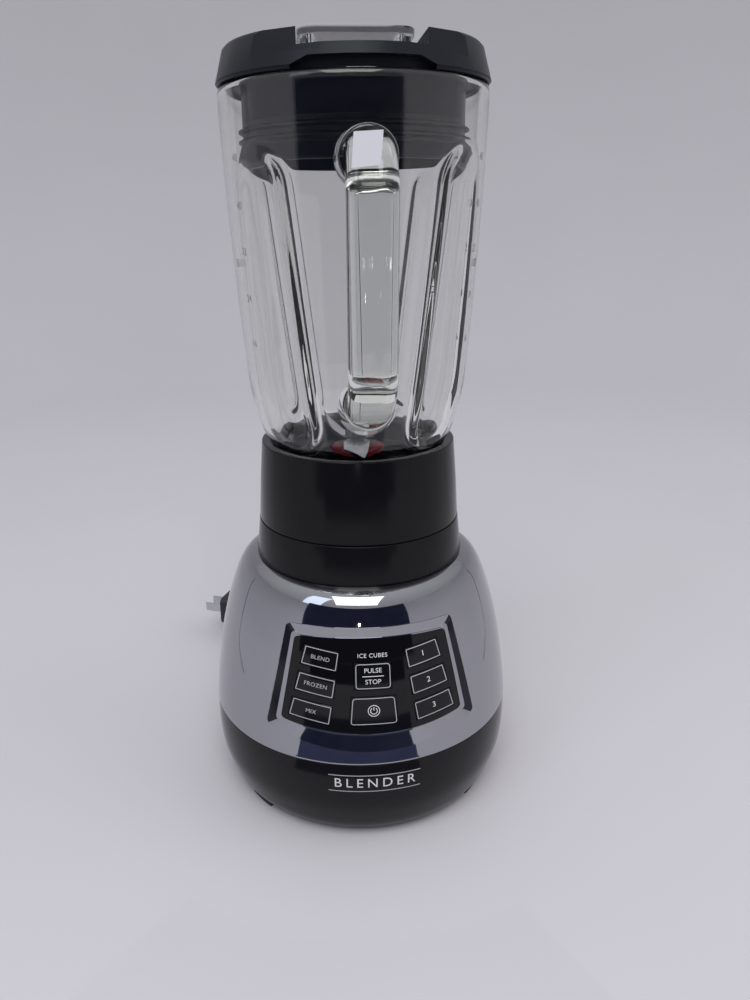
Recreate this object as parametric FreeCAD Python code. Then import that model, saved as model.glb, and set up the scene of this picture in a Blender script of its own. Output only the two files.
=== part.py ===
import FreeCAD, Part
import os
from math import acos, cos, pi, radians, sin, tan

# Countertop blender, millimetres. +Z is up, z = 0 is the counter, the origin is on the jar's axis,
# and the control panel and the jar's handle face -Y.

Vec = FreeCAD.Vector
ORIGIN = Vec(0, 0, 0)
UP = Vec(0, 0, 1)
RIGHT = Vec(1, 0, 0)

# ---- driving dimensions -------------------------------------------------------------------------
WALL = 2.5                      # moulded shells of the base
GLASS_WALL = 4.0
RUNNING = 0.05                  # radial clearance of a shaft in its bush or bearing
GAP = 0.4                       # radial clearance of loose fits between separate bodies
REST = 0.3                      # height left between bodies that only rest on each other

UNDERSIDE_Z = 2.0               # flat centre of the bottom cover
RIM_Z = 2.5                     # lower edge of the lower shell
SHELL_SPLIT_Z = 53.4            # lower shell below, dome above
DOME_TOP_Z = 143.3
NECK_TOP_Z = 164.6
COLLAR_TOP_Z = 209.5
GLASS_TOP_Z = 385.5
LID_TOP_Z = 402.2
CAP_TOP_Z = 408.0

# outer outlines as (radius, height)
LOWER_OUTLINE = [(77, 2.5), (81.5, 8), (84.5, 15), (87.4, 25), (88.5, 35), (88.7, 45), (88.3, 53.4)]
DOME_OUTLINE = [(88.8, 53.4), (88, 62), (86.2, 76), (83.6, 92), (80.3, 107), (76.6, 120),
                (73.5, 129), (70, 136.5), (65.5, 141.5), (60, 143.3)]
GLASS_OUTLINE = [(50.9, 212.5), (54.8, 223), (57.8, 236), (60.2, 257), (62.2, 284), (63.8, 310),
                 (65.2, 334), (66.2, 358), (66.8, 381.5)]

NECK_HOLE_R = 57.9              # hole in the top of the dome
NECK_BASE_R = 59.7
NECK_RIM_R = 57.3
SOCKET_R = 53.6                 # socket that takes the jar base
SOCKET_FLOOR_Z = 151.0
COVER_R = 74.2
COVER_FLAT_R = 56.0
COVER_TOP_Z = 5.0

FOOT_ANGLES = (35, 145, 215, 325)
FOOT_IN_R = 61.0
FOOT_OUT_R = 77.6
FOOT_WIDTH = 18.0

# control panel: a flat working plane tilted back, u to the right, v up the slope, w outwards
PANEL_TILT = 12.0
PANEL_Y = -84.0
PANEL_Z = 96.0
WINDOW_TOP = (39.6, 27.2)       # corners of the black panel as (u, v)
WINDOW_BOTTOM = (48.6, -18.3)
WINDOW_TOP_MID_V = 26.4
WINDOW_BOTTOM_MID_V = -25.0
FRAME_TOP = (43.6, 34.3)        # corners of the frame around it
FRAME_BOTTOM = (57.0, -22.7)
FRAME_TOP_MID_V = 32.3
FRAME_BOTTOM_MID_V = -34.7
FRAME_PROUD = 1.2
PANEL_SUNK = 0.8
KEY_SUNK = 0.3
KEY_THICK = 2.4
KEY_GAP = 0.35
KEY_ROWS = 3
KEY_PITCH = 14.65
KEY_HEIGHT = 10.5
KEY_SLOPE = 0.18                # rise of a side key's long edges per millimetre outwards
KEY_TRAVEL = 0.6
STEM_R = 2.0
BOARD_W = -24.0                 # front face of the control board
SWITCH_H = 4.0

# motor
SHAFT_R = 4.0
BEARING_R = 11.0
BEARING_H = 7.0
LOWER_BEARING_Z = 22.0
UPPER_BEARING_Z = 126.0
STACK_Z0 = 64.0
STACK_Z1 = 98.0
ARMATURE_R = 18.4
STATOR_BORE_R = 19.0
STATOR_X = 31.0
STATOR_Y = 29.0
COIL_IN_X = 20.5
COIL_OUT_X = 27.0
COIL_IN_Y = 12.5
COIL_OUT_Y = 20.5
POST_X = 27.5
POST_Y = 25.4
SCREW_R = 2.0
FAN_R = 27.0
FAN_BLADES = 9
COMMUTATOR_R = 11.0
BRUSH_Z = 51.0
MOUNT_X = 36.0
MOUNT_Y = 30.0
ARM_ANGLE = 39.8                # of the bracket's arms, towards the rubber mounts

# drive
CUP_R = 17.0
STAR_POINTS = 6
STAR_HUB_R = 7.0
STAR_R = 11.5
STAR_TOOTH = 4.0
STAR_GAP = 0.6

# jar base and blades
COLLAR_BASE_R = 57.2
COLLAR_TOP_R = 54.0
SPIGOT_R = 53.0
SPIGOT_Z = 153.0
LEDGE_Z = 187.0
GLASS_NECK_R = 47.6
GLASS_FOOT_Z = 193.4
BLADE_HOLDER_R = 47.2
BOSS_R = 11.0
BOSS_TOP_Z = 205.0
HUB_TOP = (15.2, 199.0)         # top of the cone around the boss, where the hub seal sits
HUB_FOOT_R = 19.0
BLADES_Z = 208.0                # underside of the lower blades
BUSH_R = 6.0
BLADE_SHAFT_R = 4.0
BLADE_T = 1.6

# glass flutes and handle
FLUTE_TOP = (73.3, 338.5)       # cutter centre as (radius, height) at the top and bottom
FLUTE_BOTTOM = (61.5, 226.0)
FLUTE_TOP_AZ = 47.5             # from the front or the back, in degrees
FLUTE_BOTTOM_AZ = 43.0
FLUTE_TOP_R = 13.5
FLUTE_BOTTOM_R = 14.5
HANDLE_PATH = [(0, -57, 350), (0, -94, 350), (0, -90.5, 249), (0, -51, 235)]
HANDLE_WIDTH = 22.0
HANDLE_DEPTH = 17.0
HANDLE_BENDS = (17.0, 19.0)
UPPER_BOSS_R = 14.5
LOWER_BOSS_R = 15.0

# lid and cap
LID_SKIRT_R = 67.3
LID_SHOULDER_R = 63.4
LID_SKIRT_Z = 387.0
LID_SEAT_Z = GLASS_TOP_Z + REST
PLUG_R = 55.3
PLUG_WALL = 3.0
PLUG_Z = 351.0
LID_FLOOR_Z = 391.0
CHANNEL_HALF = 28.4
CHANNEL_Z = 395.0
UNDERCUT_HALF = (31.5, 24.0)    # of the gap under the tab, at the skirt's lower edge and at its top
UNDERCUT_R = 60.5
UNDERCUT_Z = 390.2
WING_STEP = ((26.0, -61.8), (45.5, -47.6))      # line along which each wing is set back, in X and Y
WING_STEP_Z = 392.4
SEAL_Z0 = 358.0
SEAL_Z1 = 369.0
SEAL_GROOVE_R = 54.3
SEAL_RIDGE_R = 57.4
CAP_HALF = 27.4
CAP_RIM_Z = 404.8
CAP_WALL_HALF = 26.2
CAP_PLUG_HALF = 23.0
CAP_PLUG_Z = 379.0
CAP_WALL = 2.0
CAP_CORNER_R = 7.0

# power cord
CORD_R = 3.3
RELIEF_Z = 22.0
RELIEF_TURN = 14.0              # from straight back, towards -X
RELIEF_REACH = 110.0
COIL_X = -56.0
COIL_Y = 186.6
COIL_MID_R = 36.3
CORD_EXIT = (-26.6, 106.7, 17)
CORD_ROUTE = [CORD_EXIT, (-29.7, 119.3, 13.7), (-36.6, 130.3, 10.1), (-46.6, 138.7, 6.8),
              (-58.3, 144.4, 4), (-70.6, 148.4, 3.4)]
TAIL_ROUTE = [(-17, 193.5, 12.4), (-14.9, 181.7, 14.6), (-17.1, 169.9, 16.9), (-23.2, 159.6, 18.8),
              (-32.5, 152, 20.8), (-43.9, 148.2, 22.9), (-55.9, 148.6, 24.2), (-67.2, 153.1, 24.4)]
PLUG_HEAD = (24.0, 26.0, 22.0)  # length, width, height of the moulded head
PLUG_Z0 = TAIL_ROUTE[-1][2] - PLUG_HEAD[2] / 2
PLUG_YAW = 157.8
PIN_LENGTH = 16.0


# ---- helpers --------------------------------------------------------------------------------------
def flat(points):
    """Edges that join (radius, height) points with straight lines."""
    corners = [Vec(r, 0, z) for r, z in points]
    return [Part.makeLine(a, b) for a, b in zip(corners, corners[1:])]


def smooth(points):
    """One smooth edge through (radius, height) points."""
    curve = Part.BSplineCurve()
    curve.interpolate([Vec(r, 0, z) for r, z in points])
    return curve.toShape()


def bend(a, b, c):
    """Arc from a to c through b, all (radius, height)."""
    return Part.Arc(*[Vec(r, 0, z) for r, z in (a, b, c)]).toShape()


def turned(edges):
    """Solid of revolution about Z from the edges of a closed outline."""
    wire = Part.Wire(Part.__sortEdges__(edges))
    return Part.Face(wire).revolve(ORIGIN, UP, 360)


def lathe(points):
    """Solid of revolution of a closed polygon of (radius, height) points."""
    return turned(flat(list(points) + [points[0]]))


def offset(points, distance):
    """The outline moved outwards by distance, or inwards when it is negative."""
    moved = []
    for i, (r, z) in enumerate(points):
        r0, z0 = points[max(i - 1, 0)]
        r1, z1 = points[min(i + 1, len(points) - 1)]
        run = ((r1 - r0) ** 2 + (z1 - z0) ** 2) ** 0.5
        moved.append((r + distance * (z1 - z0) / run, z - distance * (r1 - r0) / run))
    return moved


def disc(radius, z0, z1, x=0.0, y=0.0):
    return Part.makeCylinder(radius, z1 - z0, Vec(x, y, z0))


def ring(inner, outer, z0, z1):
    return disc(outer, z0, z1).cut(disc(inner, z0 - 1, z1 + 1))


def block(x0, x1, y0, y1, z0, z1):
    return Part.makeBox(x1 - x0, y1 - y0, z1 - z0, Vec(x0, y0, z0))


def rod(start, end, radius, end_radius=None):
    """Round bar between two points, tapered when end_radius is given."""
    a = Vec(*start)
    run = Vec(*end) - a
    if end_radius is None or end_radius == radius:
        return Part.makeCylinder(radius, run.Length, a, run)
    return Part.makeCone(radius, end_radius, run.Length, a, run)


def spun(shape, angle):
    """A copy of the shape turned about the jar's axis."""
    copy = shape.copy()
    copy.rotate(ORIGIN, UP, angle)
    return copy


def moved(shape, x=0.0, y=0.0, z=0.0):
    copy = shape.copy()
    copy.translate(Vec(x, y, z))
    return copy


def mirrored(shape):
    """A copy mirrored left to right."""
    return shape.mirror(ORIGIN, RIGHT)


def four(shape):
    """The shape and its mirror images in X and Y."""
    right = [shape, shape.mirror(ORIGIN, Vec(0, 1, 0))]
    return right + [mirrored(s) for s in right]


def joined(first, *others):
    return first.fuse([s for s in others]).removeSplitter()


def less(shape, *tools):
    for tool in tools:
        shape = shape.cut(tool)
    return shape


def rounded_square(half, corner, z0, z1):
    """Upright square prism with rounded corners."""
    body = block(-half, half, -half, half, z0, z1)
    upright = [e for e in body.Edges if abs(e.Vertexes[0].Z - e.Vertexes[1].Z) > 0.1]
    return body.makeFillet(corner, upright)


def rounded_path(points, radii):
    """Wire of straight runs joined by tangent arcs of the given radii at the inner points."""
    points = [Vec(*p) for p in points]
    edges = []
    last = points[0]
    for before, corner, after, radius in zip(points, points[1:], points[2:], radii):
        back = (before - corner).normalize()
        on = (after - corner).normalize()
        half = (pi - acos(max(-1.0, min(1.0, back.dot(on))))) / 2
        reach = radius * tan(half)
        start = corner + back * reach
        end = corner + on * reach
        middle = corner + (back + on).normalize() * (radius / cos(half) - radius)
        edges.append(Part.LineSegment(last, start).toShape())
        edges.append(Part.Arc(start, middle, end).toShape())
        last = end
    edges.append(Part.LineSegment(last, points[-1]).toShape())
    return Part.Wire(edges)


def cord_radii(points):
    """The largest easy bend at each inner point of a cord's route."""
    points = [Vec(*p) for p in points]
    radii = []
    for a, b, c in zip(points, points[1:], points[2:]):
        turn = (b - a).getAngle(c - b)
        radii.append(0.45 * min((b - a).Length, (c - b).Length) / tan(turn / 2))
    return radii


def cord_tube(name, points):
    radii = cord_radii(points)
    wire = rounded_path(points, radii)
    first = Vec(*points[1]) - Vec(*points[0])
    section = Part.Wire(Part.makeCircle(CORD_R, Vec(*points[0]), first))
    tube = wire.makePipeShell([section], True, False)
    expected = pi * CORD_R ** 2 * wire.Length
    print(name, "length", round(wire.Length, 1), "volume ratio", round(tube.Volume / expected, 4))
    print(name, "bend radii", [round(r, 1) for r in radii])
    return tube


def save(name, *shapes):
    """Write a node's solids to its own file."""
    solids = [s for shape in shapes for s in shape.Solids]
    result = solids[0] if len(solids) == 1 else Part.makeCompound(solids)
    bad = [s for s in solids if not s.isValid() or s.Volume <= 0]
    if bad:
        print("INVALID", name, len(bad))
    result.exportStep(f"parts/{name}.step")


# ---- base: shells ----------------------------------------------------------------------------------
def lower_shell():
    """Dark bowl with a ledge for the bottom cover and four screw bosses."""
    inner = offset(LOWER_OUTLINE, -WALL)[1:]
    first_r, first_z = inner[0]
    top_r = inner[-1][0]
    inner[-1] = (top_r, SHELL_SPLIT_Z)
    edges = [smooth(LOWER_OUTLINE), smooth(inner)]
    edges += flat([(88.3, SHELL_SPLIT_Z), inner[-1]])
    edges += flat([(first_r, first_z), (COVER_R + 0.2, 7), (69, 7), (69, COVER_TOP_Z),
                   (COVER_R + 0.2, COVER_TOP_Z), (COVER_R + 0.2, RIM_Z), LOWER_OUTLINE[0]])
    shell = turned(edges)
    hole = spun(rod((0, 70, RELIEF_Z), (0, 100, RELIEF_Z), 6.3), RELIEF_TURN)
    for angle in range(45, 360, 90):
        post = joined(disc(4.5, COVER_TOP_Z, 30, 66), block(66, 78, -1.5, 1.5, 7, 28))
        post = post.cut(disc(1.5, 0, 24, 66))
        shell = joined(shell, spun(post, angle))
    return shell.cut(hole)


def dome_core(distance):
    """Solid dome whose skin is the dome's outline moved by distance."""
    skin = offset(DOME_OUTLINE, distance)
    skin[0] = (DOME_OUTLINE[0][0] + distance, SHELL_SPLIT_Z)
    top_z = skin[-1][1]
    return turned([smooth(skin)] + flat([skin[-1], (0, top_z), (0, SHELL_SPLIT_Z), skin[0]]))


def on_panel(shape):
    """Put a shape drawn in panel coordinates (u, v, w) in its place on the dome."""
    copy = shape.copy()
    copy.rotate(ORIGIN, RIGHT, 90 - PANEL_TILT)
    copy.translate(Vec(0, PANEL_Y, PANEL_Z))
    return copy


def panel_prism(top, bottom, top_mid, bottom_mid, corner):
    """Prism through the dome with the outline of the panel or of its frame."""
    tl, tr = Vec(-top[0], top[1], -28), Vec(top[0], top[1], -28)
    bl, br = Vec(-bottom[0], bottom[1], -28), Vec(bottom[0], bottom[1], -28)
    edges = [Part.Arc(tl, Vec(0, top_mid, -28), tr).toShape(), Part.makeLine(tr, br)]
    edges += [Part.Arc(br, Vec(0, bottom_mid, -28), bl).toShape(), Part.makeLine(bl, tl)]
    prism = Part.Face(Part.Wire(edges)).extrude(Vec(0, 0, 60))
    low = [e for e in prism.Edges if e.Length > 59.9 and abs(e.Vertexes[0].Z - e.Vertexes[1].Z) > 59
           and e.Vertexes[0].Y < 0]
    return on_panel(prism.makeFillet(corner, low))


def dome(frame_prism, skin, lining):
    """Polished dome, open for the neck and the panel frame."""
    shell = skin.cut(lining)
    return less(shell, disc(NECK_HOLE_R, 130, 150), frame_prism)


def neck_ring():
    """Fixed dark ring that takes the jar base."""
    outline = [(NECK_BASE_R, DOME_TOP_Z), (NECK_RIM_R, NECK_TOP_Z), (SOCKET_R, NECK_TOP_Z),
               (SOCKET_R, SOCKET_FLOOR_Z), (21, SOCKET_FLOOR_Z), (21, SOCKET_FLOOR_Z - 3),
               (53.5, SOCKET_FLOOR_Z - 3), (53.5, 137), (57.5, 137), (57.5, DOME_TOP_Z)]
    body = lathe(outline)
    lug = block(SPIGOT_R - 2.2, SOCKET_R + 1, -4, 4, SOCKET_FLOOR_Z, 160)
    return joined(body, *[spun(lug, a) for a in (30, 150, 270)])


def bottom_cover():
    """Cover with cooling slots, motor seats and screw holes."""
    cover = joined(disc(COVER_R, RIM_Z, COVER_TOP_Z), disc(COVER_FLAT_R, UNDERSIDE_Z, COVER_TOP_Z))
    slot = block(26, 50, -1.6, 1.6, 0, 10)
    for k in range(12):
        cover = cover.cut(spun(slot, 30 * k + 15))
    seats = four(disc(7, COVER_TOP_Z, 12, MOUNT_X, MOUNT_Y))
    cover = joined(cover, *seats)
    for angle in range(45, 360, 90):
        cover = cover.cut(spun(disc(1.9, 0, 10, 66), angle))
        cover = cover.cut(spun(disc(3.4, 0, 3.6, 66), angle))
    return cover


def feet():
    """Rubber feet that stand a little out from under the lower shell."""
    band = ring(FOOT_IN_R, FOOT_OUT_R, 0, RIM_Z)
    pads = []
    for angle in FOOT_ANGLES:
        pads.append(band.common(spun(block(50, 90, -FOOT_WIDTH / 2, FOOT_WIDTH / 2, -1, 5), angle)))
    return pads


def cover_screws():
    screw = joined(disc(3.2, RIM_Z + 0.2, 3.6, 66), disc(1.5, 3.6, 22, 66))
    return [spun(screw, angle) for angle in range(45, 360, 90)]


# ---- base: panel and keys ---------------------------------------------------------------------------
def side_key_outline(row):
    """Four (u, v) corners of a key in the right-hand column; its inner edge is the lower one."""
    top = 19.9 - KEY_PITCH * row
    corners = []
    for v, side in ((top, 0), (top, 1), (top - KEY_HEIGHT, 1), (top - KEY_HEIGHT, 0)):
        inner = 18.6 - 0.153 * (v - 9)
        outer = 37.4 - 0.25 * (v - 9)
        u = outer if side else inner
        corners.append((u, v + (KEY_SLOPE * (outer - inner) if side else 0)))
    return corners


def key_outlines():
    """Name and outline of every key, in panel coordinates."""
    names = {}
    for row, left in zip(range(KEY_ROWS), ("key_blend", "key_frozen", "key_mix")):
        right = side_key_outline(row)
        names[f"key_speed_{row + 1}"] = right
        names[left] = [(-u, v) for u, v in reversed(right)]
    names["key_pulse"] = [(-9.5, 14.0), (9.5, 14.0), (9.7, -0.3), (-9.7, -0.3)]
    names["key_power"] = [(-11.5, -4.3), (11.5, -4.3), (12.8, -20.0), (-12.8, -20.0)]
    return names


def centre_of(outline):
    return tuple(sum(p[i] for p in outline) / len(outline) for i in (0, 1))


def key_prism(outline, grow):
    """Prism of a key's outline, with every side moved out by a clearance."""
    mid_u, mid_v = centre_of(outline)
    corners = []
    for u, v in outline:
        side_u = grow if u > mid_u else -grow
        side_v = grow if v > mid_v else -grow
        corners.append(Vec(u + side_u, v + side_v, -18))
    face = Part.Face(Part.makePolygon(corners + [corners[0]]))
    return on_panel(face.extrude(Vec(0, 0, 34)))


def fascia(window_prism, outlines):
    """Glossy black panel with a hole for each key."""
    panel = dome_core(-PANEL_SUNK).cut(dome_core(-PANEL_SUNK - 2.4)).common(window_prism)
    for outline in outlines.values():
        panel = panel.cut(key_prism(outline, KEY_GAP))
    return panel


def key(outline, slab, core):
    """Key cap that follows the dome, with a stem that reaches its switch."""
    cap = slab.common(key_prism(outline, 0))
    u, v = centre_of(outline)
    foot = BOARD_W + SWITCH_H + KEY_TRAVEL + 0.3
    stem = on_panel(moved(Part.makeCylinder(STEM_R, 40), u, v, foot))
    return joined(cap, stem.common(core))


def switches(outlines):
    made = []
    for outline in outlines.values():
        u, v = centre_of(outline)
        case = block(u - 3, u + 3, v - 3, v + 3, BOARD_W, BOARD_W + SWITCH_H - 0.8)
        plunger = moved(Part.makeCylinder(1.7, 0.8), u, v, BOARD_W + SWITCH_H - 0.8)
        made.append(on_panel(joined(case, plunger)))
    return made


def control_board():
    board = block(-37, 37, -24, 26, BOARD_W - 1.6, BOARD_W)
    parts = [block(-30, -18, -20, -8, BOARD_W - 9, BOARD_W - 1.6),
             block(10, 28, -18, -6, BOARD_W - 7, BOARD_W - 1.6)]
    return on_panel(joined(board, *parts))


# ---- base: motor ----------------------------------------------------------------------------------------
def posts(z0, z1, radius):
    return four(disc(radius, z0, z1, POST_X, POST_Y))


def lower_bracket():
    """Cross plate with the lower bearing pocket, posts to the stator and arms to the rubber mounts."""
    plate = disc(17, LOWER_BEARING_Z - 3, LOWER_BEARING_Z + BEARING_H)
    arms = []
    for sign in (1, -1):
        bar = block(-50, 50, -6, 6, LOWER_BEARING_Z - 3, LOWER_BEARING_Z + 1)
        bar.rotate(ORIGIN, UP, sign * ARM_ANGLE)
        arms.append(bar)
    body = joined(plate, *arms, *posts(LOWER_BEARING_Z, STACK_Z0, 3.5))
    body = less(body, disc(BEARING_R, LOWER_BEARING_Z, 40), disc(SHAFT_R + 1.5, 0, 40))
    return less(body, *posts(0, 80, SCREW_R), *four(disc(2.5, 0, 40, MOUNT_X, MOUNT_Y)))


def upper_bracket():
    """Bridge over the stator with the upper bearing pocket."""
    top = UPPER_BEARING_Z + BEARING_H
    body = joined(disc(16, UPPER_BEARING_Z - 3, top),
                  block(-32, 32, -29, 29, UPPER_BEARING_Z - 6, UPPER_BEARING_Z - 2),
                  *posts(STACK_Z1, UPPER_BEARING_Z - 2, 3.5))
    body = less(body, disc(BEARING_R, UPPER_BEARING_Z, 150), disc(SHAFT_R + 1.5, 100, 150))
    return less(body, *posts(80, 150, SCREW_R))


def bearing(z0):
    body = ring(SHAFT_R + RUNNING, BEARING_R, z0, z0 + BEARING_H)
    groove = ring(6.2, 8.8, z0 - 1, z0 + 0.6)
    return less(body, groove, moved(groove, z=BEARING_H + 0.4))


def rubber_mount(x, y):
    """Rubber bush between the motor's lower bracket and the bottom cover."""
    return joined(disc(6.5, 12, LOWER_BEARING_Z - 3, x, y), disc(2.5, 18, 26, x, y))


def stator_core():
    """Laminated stack with its bore and winding slots."""
    stack = block(-STATOR_X, STATOR_X, -STATOR_Y, STATOR_Y, STACK_Z0, STACK_Z1)
    upright = [e for e in stack.Edges if abs(e.Vertexes[0].Z - e.Vertexes[1].Z) > 1]
    stack = stack.makeFillet(4, upright)
    slots = four(block(COIL_IN_X - 0.5, COIL_OUT_X + 0.5, COIL_IN_Y - 0.5, COIL_OUT_Y + 0.5, 0, 200))
    return less(stack, disc(STATOR_BORE_R, 0, 200), *slots, *posts(0, 200, SCREW_R))


def field_coils():
    """A rectangular winding around each pole."""
    outer = block(COIL_IN_X, COIL_OUT_X, -COIL_OUT_Y, COIL_OUT_Y, STACK_Z0 - 8, STACK_Z1 + 8)
    pole = block(15, 35, -COIL_IN_Y, COIL_IN_Y, STACK_Z0 - 0.5, STACK_Z1 + 0.5)
    coil = outer.cut(pole)
    return [coil, mirrored(coil)]


def brush_holder():
    """Box guide for one brush, carried by a strap from the stator."""
    guide = block(-5, 5, 13, 36, BRUSH_Z - 4.5, BRUSH_Z + 4.5)
    guide = guide.cut(block(-3.1, 3.1, 10, 33, BRUSH_Z - 2.6, BRUSH_Z + 2.6))
    return joined(guide, block(-5, 5, 24.5, 27, BRUSH_Z + 4.5, STACK_Z0))


def brush():
    body = block(-3, 3, COMMUTATOR_R - 3, 25, BRUSH_Z - 2.5, BRUSH_Z + 2.5)
    return body.cut(disc(COMMUTATOR_R + 0.3, 0, 100))


def motor_shaft():
    return disc(SHAFT_R, 16, 150)


def armature_core():
    core = ring(SHAFT_R, ARMATURE_R, STACK_Z0, STACK_Z1)
    slot = block(11.5, 20, -1.2, 1.2, 0, 200)
    return less(core, *[spun(slot, 30 * k) for k in range(12)])


def armature_winding():
    """The two ends of the armature winding that stand out of the core."""
    upper = [(SHAFT_R + 1, STACK_Z1), (16.6, STACK_Z1), (17, STACK_Z1 + 4), (13.5, STACK_Z1 + 9),
             (SHAFT_R + 1, STACK_Z1 + 10)]
    middle = STACK_Z0 + STACK_Z1
    lower = [(r, middle - z) for r, z in upper]
    lower = [(r, max(z, BRUSH_Z + 7)) for r, z in lower]
    return [lathe(upper), lathe([lower[0], lower[1], lower[2], (13.5, 58), (SHAFT_R + 1, 58)])]


def commutator():
    drum = ring(SHAFT_R, COMMUTATOR_R, BRUSH_Z - 6, BRUSH_Z + 6.5)
    groove = block(COMMUTATOR_R - 0.6, 14, -0.3, 0.3, 0, 200)
    return less(drum, *[spun(groove, 15 * k + 7) for k in range(24)])


def cooling_fan():
    """Radial fan just above the lower bearing."""
    z0 = LOWER_BEARING_Z + BEARING_H + 2
    hub = joined(disc(9, z0, z0 + 10), disc(FAN_R, z0, z0 + 1.5))
    blade = moved(block(8, FAN_R, -0.8, 0.8, z0, z0 + 9), 0, 3)
    fan = joined(hub, *[spun(blade, 360 / FAN_BLADES * k) for k in range(FAN_BLADES)])
    return fan.cut(disc(SHAFT_R, 0, 100))


def star(grow):
    """Six-pointed coupling star, standing on z = 0."""
    teeth = [spun(block(0, STAR_R + grow, -STAR_TOOTH / 2 - grow, STAR_TOOTH / 2 + grow, 0, 20), 60 * k)
             for k in range(STAR_POINTS)]
    return joined(disc(STAR_HUB_R + grow, 0, 20), *teeth)


def drive_coupling():
    """Cup on the motor shaft with a star-shaped socket."""
    cup = joined(disc(CUP_R, 150, 161), disc(10, 144, 150))
    cup = cup.cut(moved(star(STAR_GAP), z=153))
    return cup.cut(disc(SHAFT_R, 140, 150))


def motor_screws():
    """Long screws that clamp the two brackets to the stator."""
    screw = joined(disc(3.6, UPPER_BEARING_Z - 2, UPPER_BEARING_Z + 1, POST_X, POST_Y),
                   disc(SCREW_R, LOWER_BEARING_Z, UPPER_BEARING_Z - 2, POST_X, POST_Y))
    return four(screw)


# ---- jar base and blades --------------------------------------------------------------------------------
def jar_base():
    """Collar that screws onto the glass and drops into the neck ring."""
    seat = NECK_TOP_Z + REST
    outline = [(SPIGOT_R, SPIGOT_Z), (SPIGOT_R, seat), (COLLAR_BASE_R, seat), (55.8, LEDGE_Z),
               (COLLAR_TOP_R, COLLAR_TOP_Z - 2.0), (COLLAR_TOP_R - 0.6, COLLAR_TOP_Z - 0.5),
               (COLLAR_TOP_R - 2.0, COLLAR_TOP_Z), (GLASS_NECK_R + 1.2, COLLAR_TOP_Z - 0.4),
               (GLASS_NECK_R + GAP, COLLAR_TOP_Z - 1.4), (GLASS_NECK_R + GAP, LEDGE_Z),
               (40, LEDGE_Z), (40, LEDGE_Z - 3.5), (49.5, LEDGE_Z - 3.5), (49.5, SPIGOT_Z)]
    body = lathe(outline)
    notch = block(SPIGOT_R - 5, SPIGOT_R + 5, -5, 5, SPIGOT_Z - 1, 161)
    return less(body, *[spun(notch, a) for a in (30, 150, 270)])


def blade_holder():
    """Disc that closes the jar and carries the blade bearing."""
    outline = [(BLADE_HOLDER_R, LEDGE_Z), (BLADE_HOLDER_R, LEDGE_Z + 3), (HUB_FOOT_R, LEDGE_Z + 3),
               HUB_TOP, (BOSS_R, HUB_TOP[1]), (BOSS_R, BOSS_TOP_Z), (BUSH_R, BOSS_TOP_Z), (BUSH_R, 168),
               (BOSS_R, 168), (BOSS_R, LEDGE_Z - 1.5), (36, LEDGE_Z - 1.5), (36, LEDGE_Z)]
    return lathe(outline)


def jar_gasket():
    return ring(39.5, BLADE_HOLDER_R - 0.3, LEDGE_Z + 3.05, GLASS_FOOT_Z - 0.05)


def hub_seal():
    """Red seal around the top of the bearing boss."""
    radius, foot = HUB_TOP
    return lathe([(BOSS_R, foot), (radius, foot), (radius, foot + 3.0), (radius - 1.0, foot + 4.4),
                  (BOSS_R, BOSS_TOP_Z)])


def blade_bush():
    return ring(BLADE_SHAFT_R + RUNNING, BUSH_R, 169, BOSS_TOP_Z - 0.5)


def blade_shaft():
    """Shaft with a thrust collar under the blades."""
    thrust = disc(5.6, BLADES_Z - 2, BLADES_Z)
    return joined(disc(BLADE_SHAFT_R, 160, BLADES_Z + 8), thrust)


def blade_coupling():
    body = star(0).common(disc(STAR_R, 0, 8.5))
    body = joined(moved(body, z=154.0), disc(9.5, 162.5, 166))
    return body.cut(disc(BLADE_SHAFT_R, 160, 170))


def blade_wing(length, droop):
    """One bent wing that runs out along +X from the hub."""
    root = 7.3
    corners = [(root, -7.5), (length - 9, -6.0), (length, 5.5), (length - 6, 7.0), (root, 7.5)]
    face = Part.Face(Part.makePolygon([Vec(x, y, 0) for x, y in corners + [corners[0]]]))
    wing = face.extrude(Vec(0, 0, BLADE_T))
    wing.rotate(Vec(root, 0, 0), Vec(0, 1, 0), droop)
    return wing


def blade_pair(z, length, droop, angle):
    hub = disc(9, 0, BLADE_T)
    wing = blade_wing(length, droop)
    pair = joined(hub, wing, spun(wing, 180)).cut(disc(BLADE_SHAFT_R, -5, 10))
    return moved(spun(pair, angle), z=z)


def blade_nut():
    hexagon = [Vec(7 * cos(radians(60 * k)), 7 * sin(radians(60 * k)), 0) for k in range(6)]
    nut = Part.Face(Part.makePolygon(hexagon + [hexagon[0]])).extrude(Vec(0, 0, 5))
    nut = moved(nut, z=BLADES_Z + 2 * BLADE_T + 0.1)
    top = nut.BoundBox.ZMax
    nut = joined(nut, Part.makeSphere(5.2, Vec(0, 0, top)).common(disc(8, top, top + 9)))
    return nut.cut(disc(BLADE_SHAFT_R, BLADES_Z, BLADES_Z + 8))


# ---- glass jar --------------------------------------------------------------------------------------------
def polar(radius, azimuth, z):
    """Point at an azimuth measured from the front (-Y) towards +X."""
    return (radius * sin(radians(azimuth)), -radius * cos(radians(azimuth)), z)


def flute(azimuth_top, azimuth_bottom, grow):
    """Rounded bar whose side presses one flute into the wall."""
    top = polar(FLUTE_TOP[0], azimuth_top, FLUTE_TOP[1])
    bottom = polar(FLUTE_BOTTOM[0], azimuth_bottom, FLUTE_BOTTOM[1])
    top_r = FLUTE_TOP_R + grow
    bottom_r = FLUTE_BOTTOM_R + grow
    bar = rod(bottom, top, bottom_r, top_r)
    return joined(bar, Part.makeSphere(top_r, Vec(*top)), Part.makeSphere(bottom_r, Vec(*bottom)))


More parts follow.
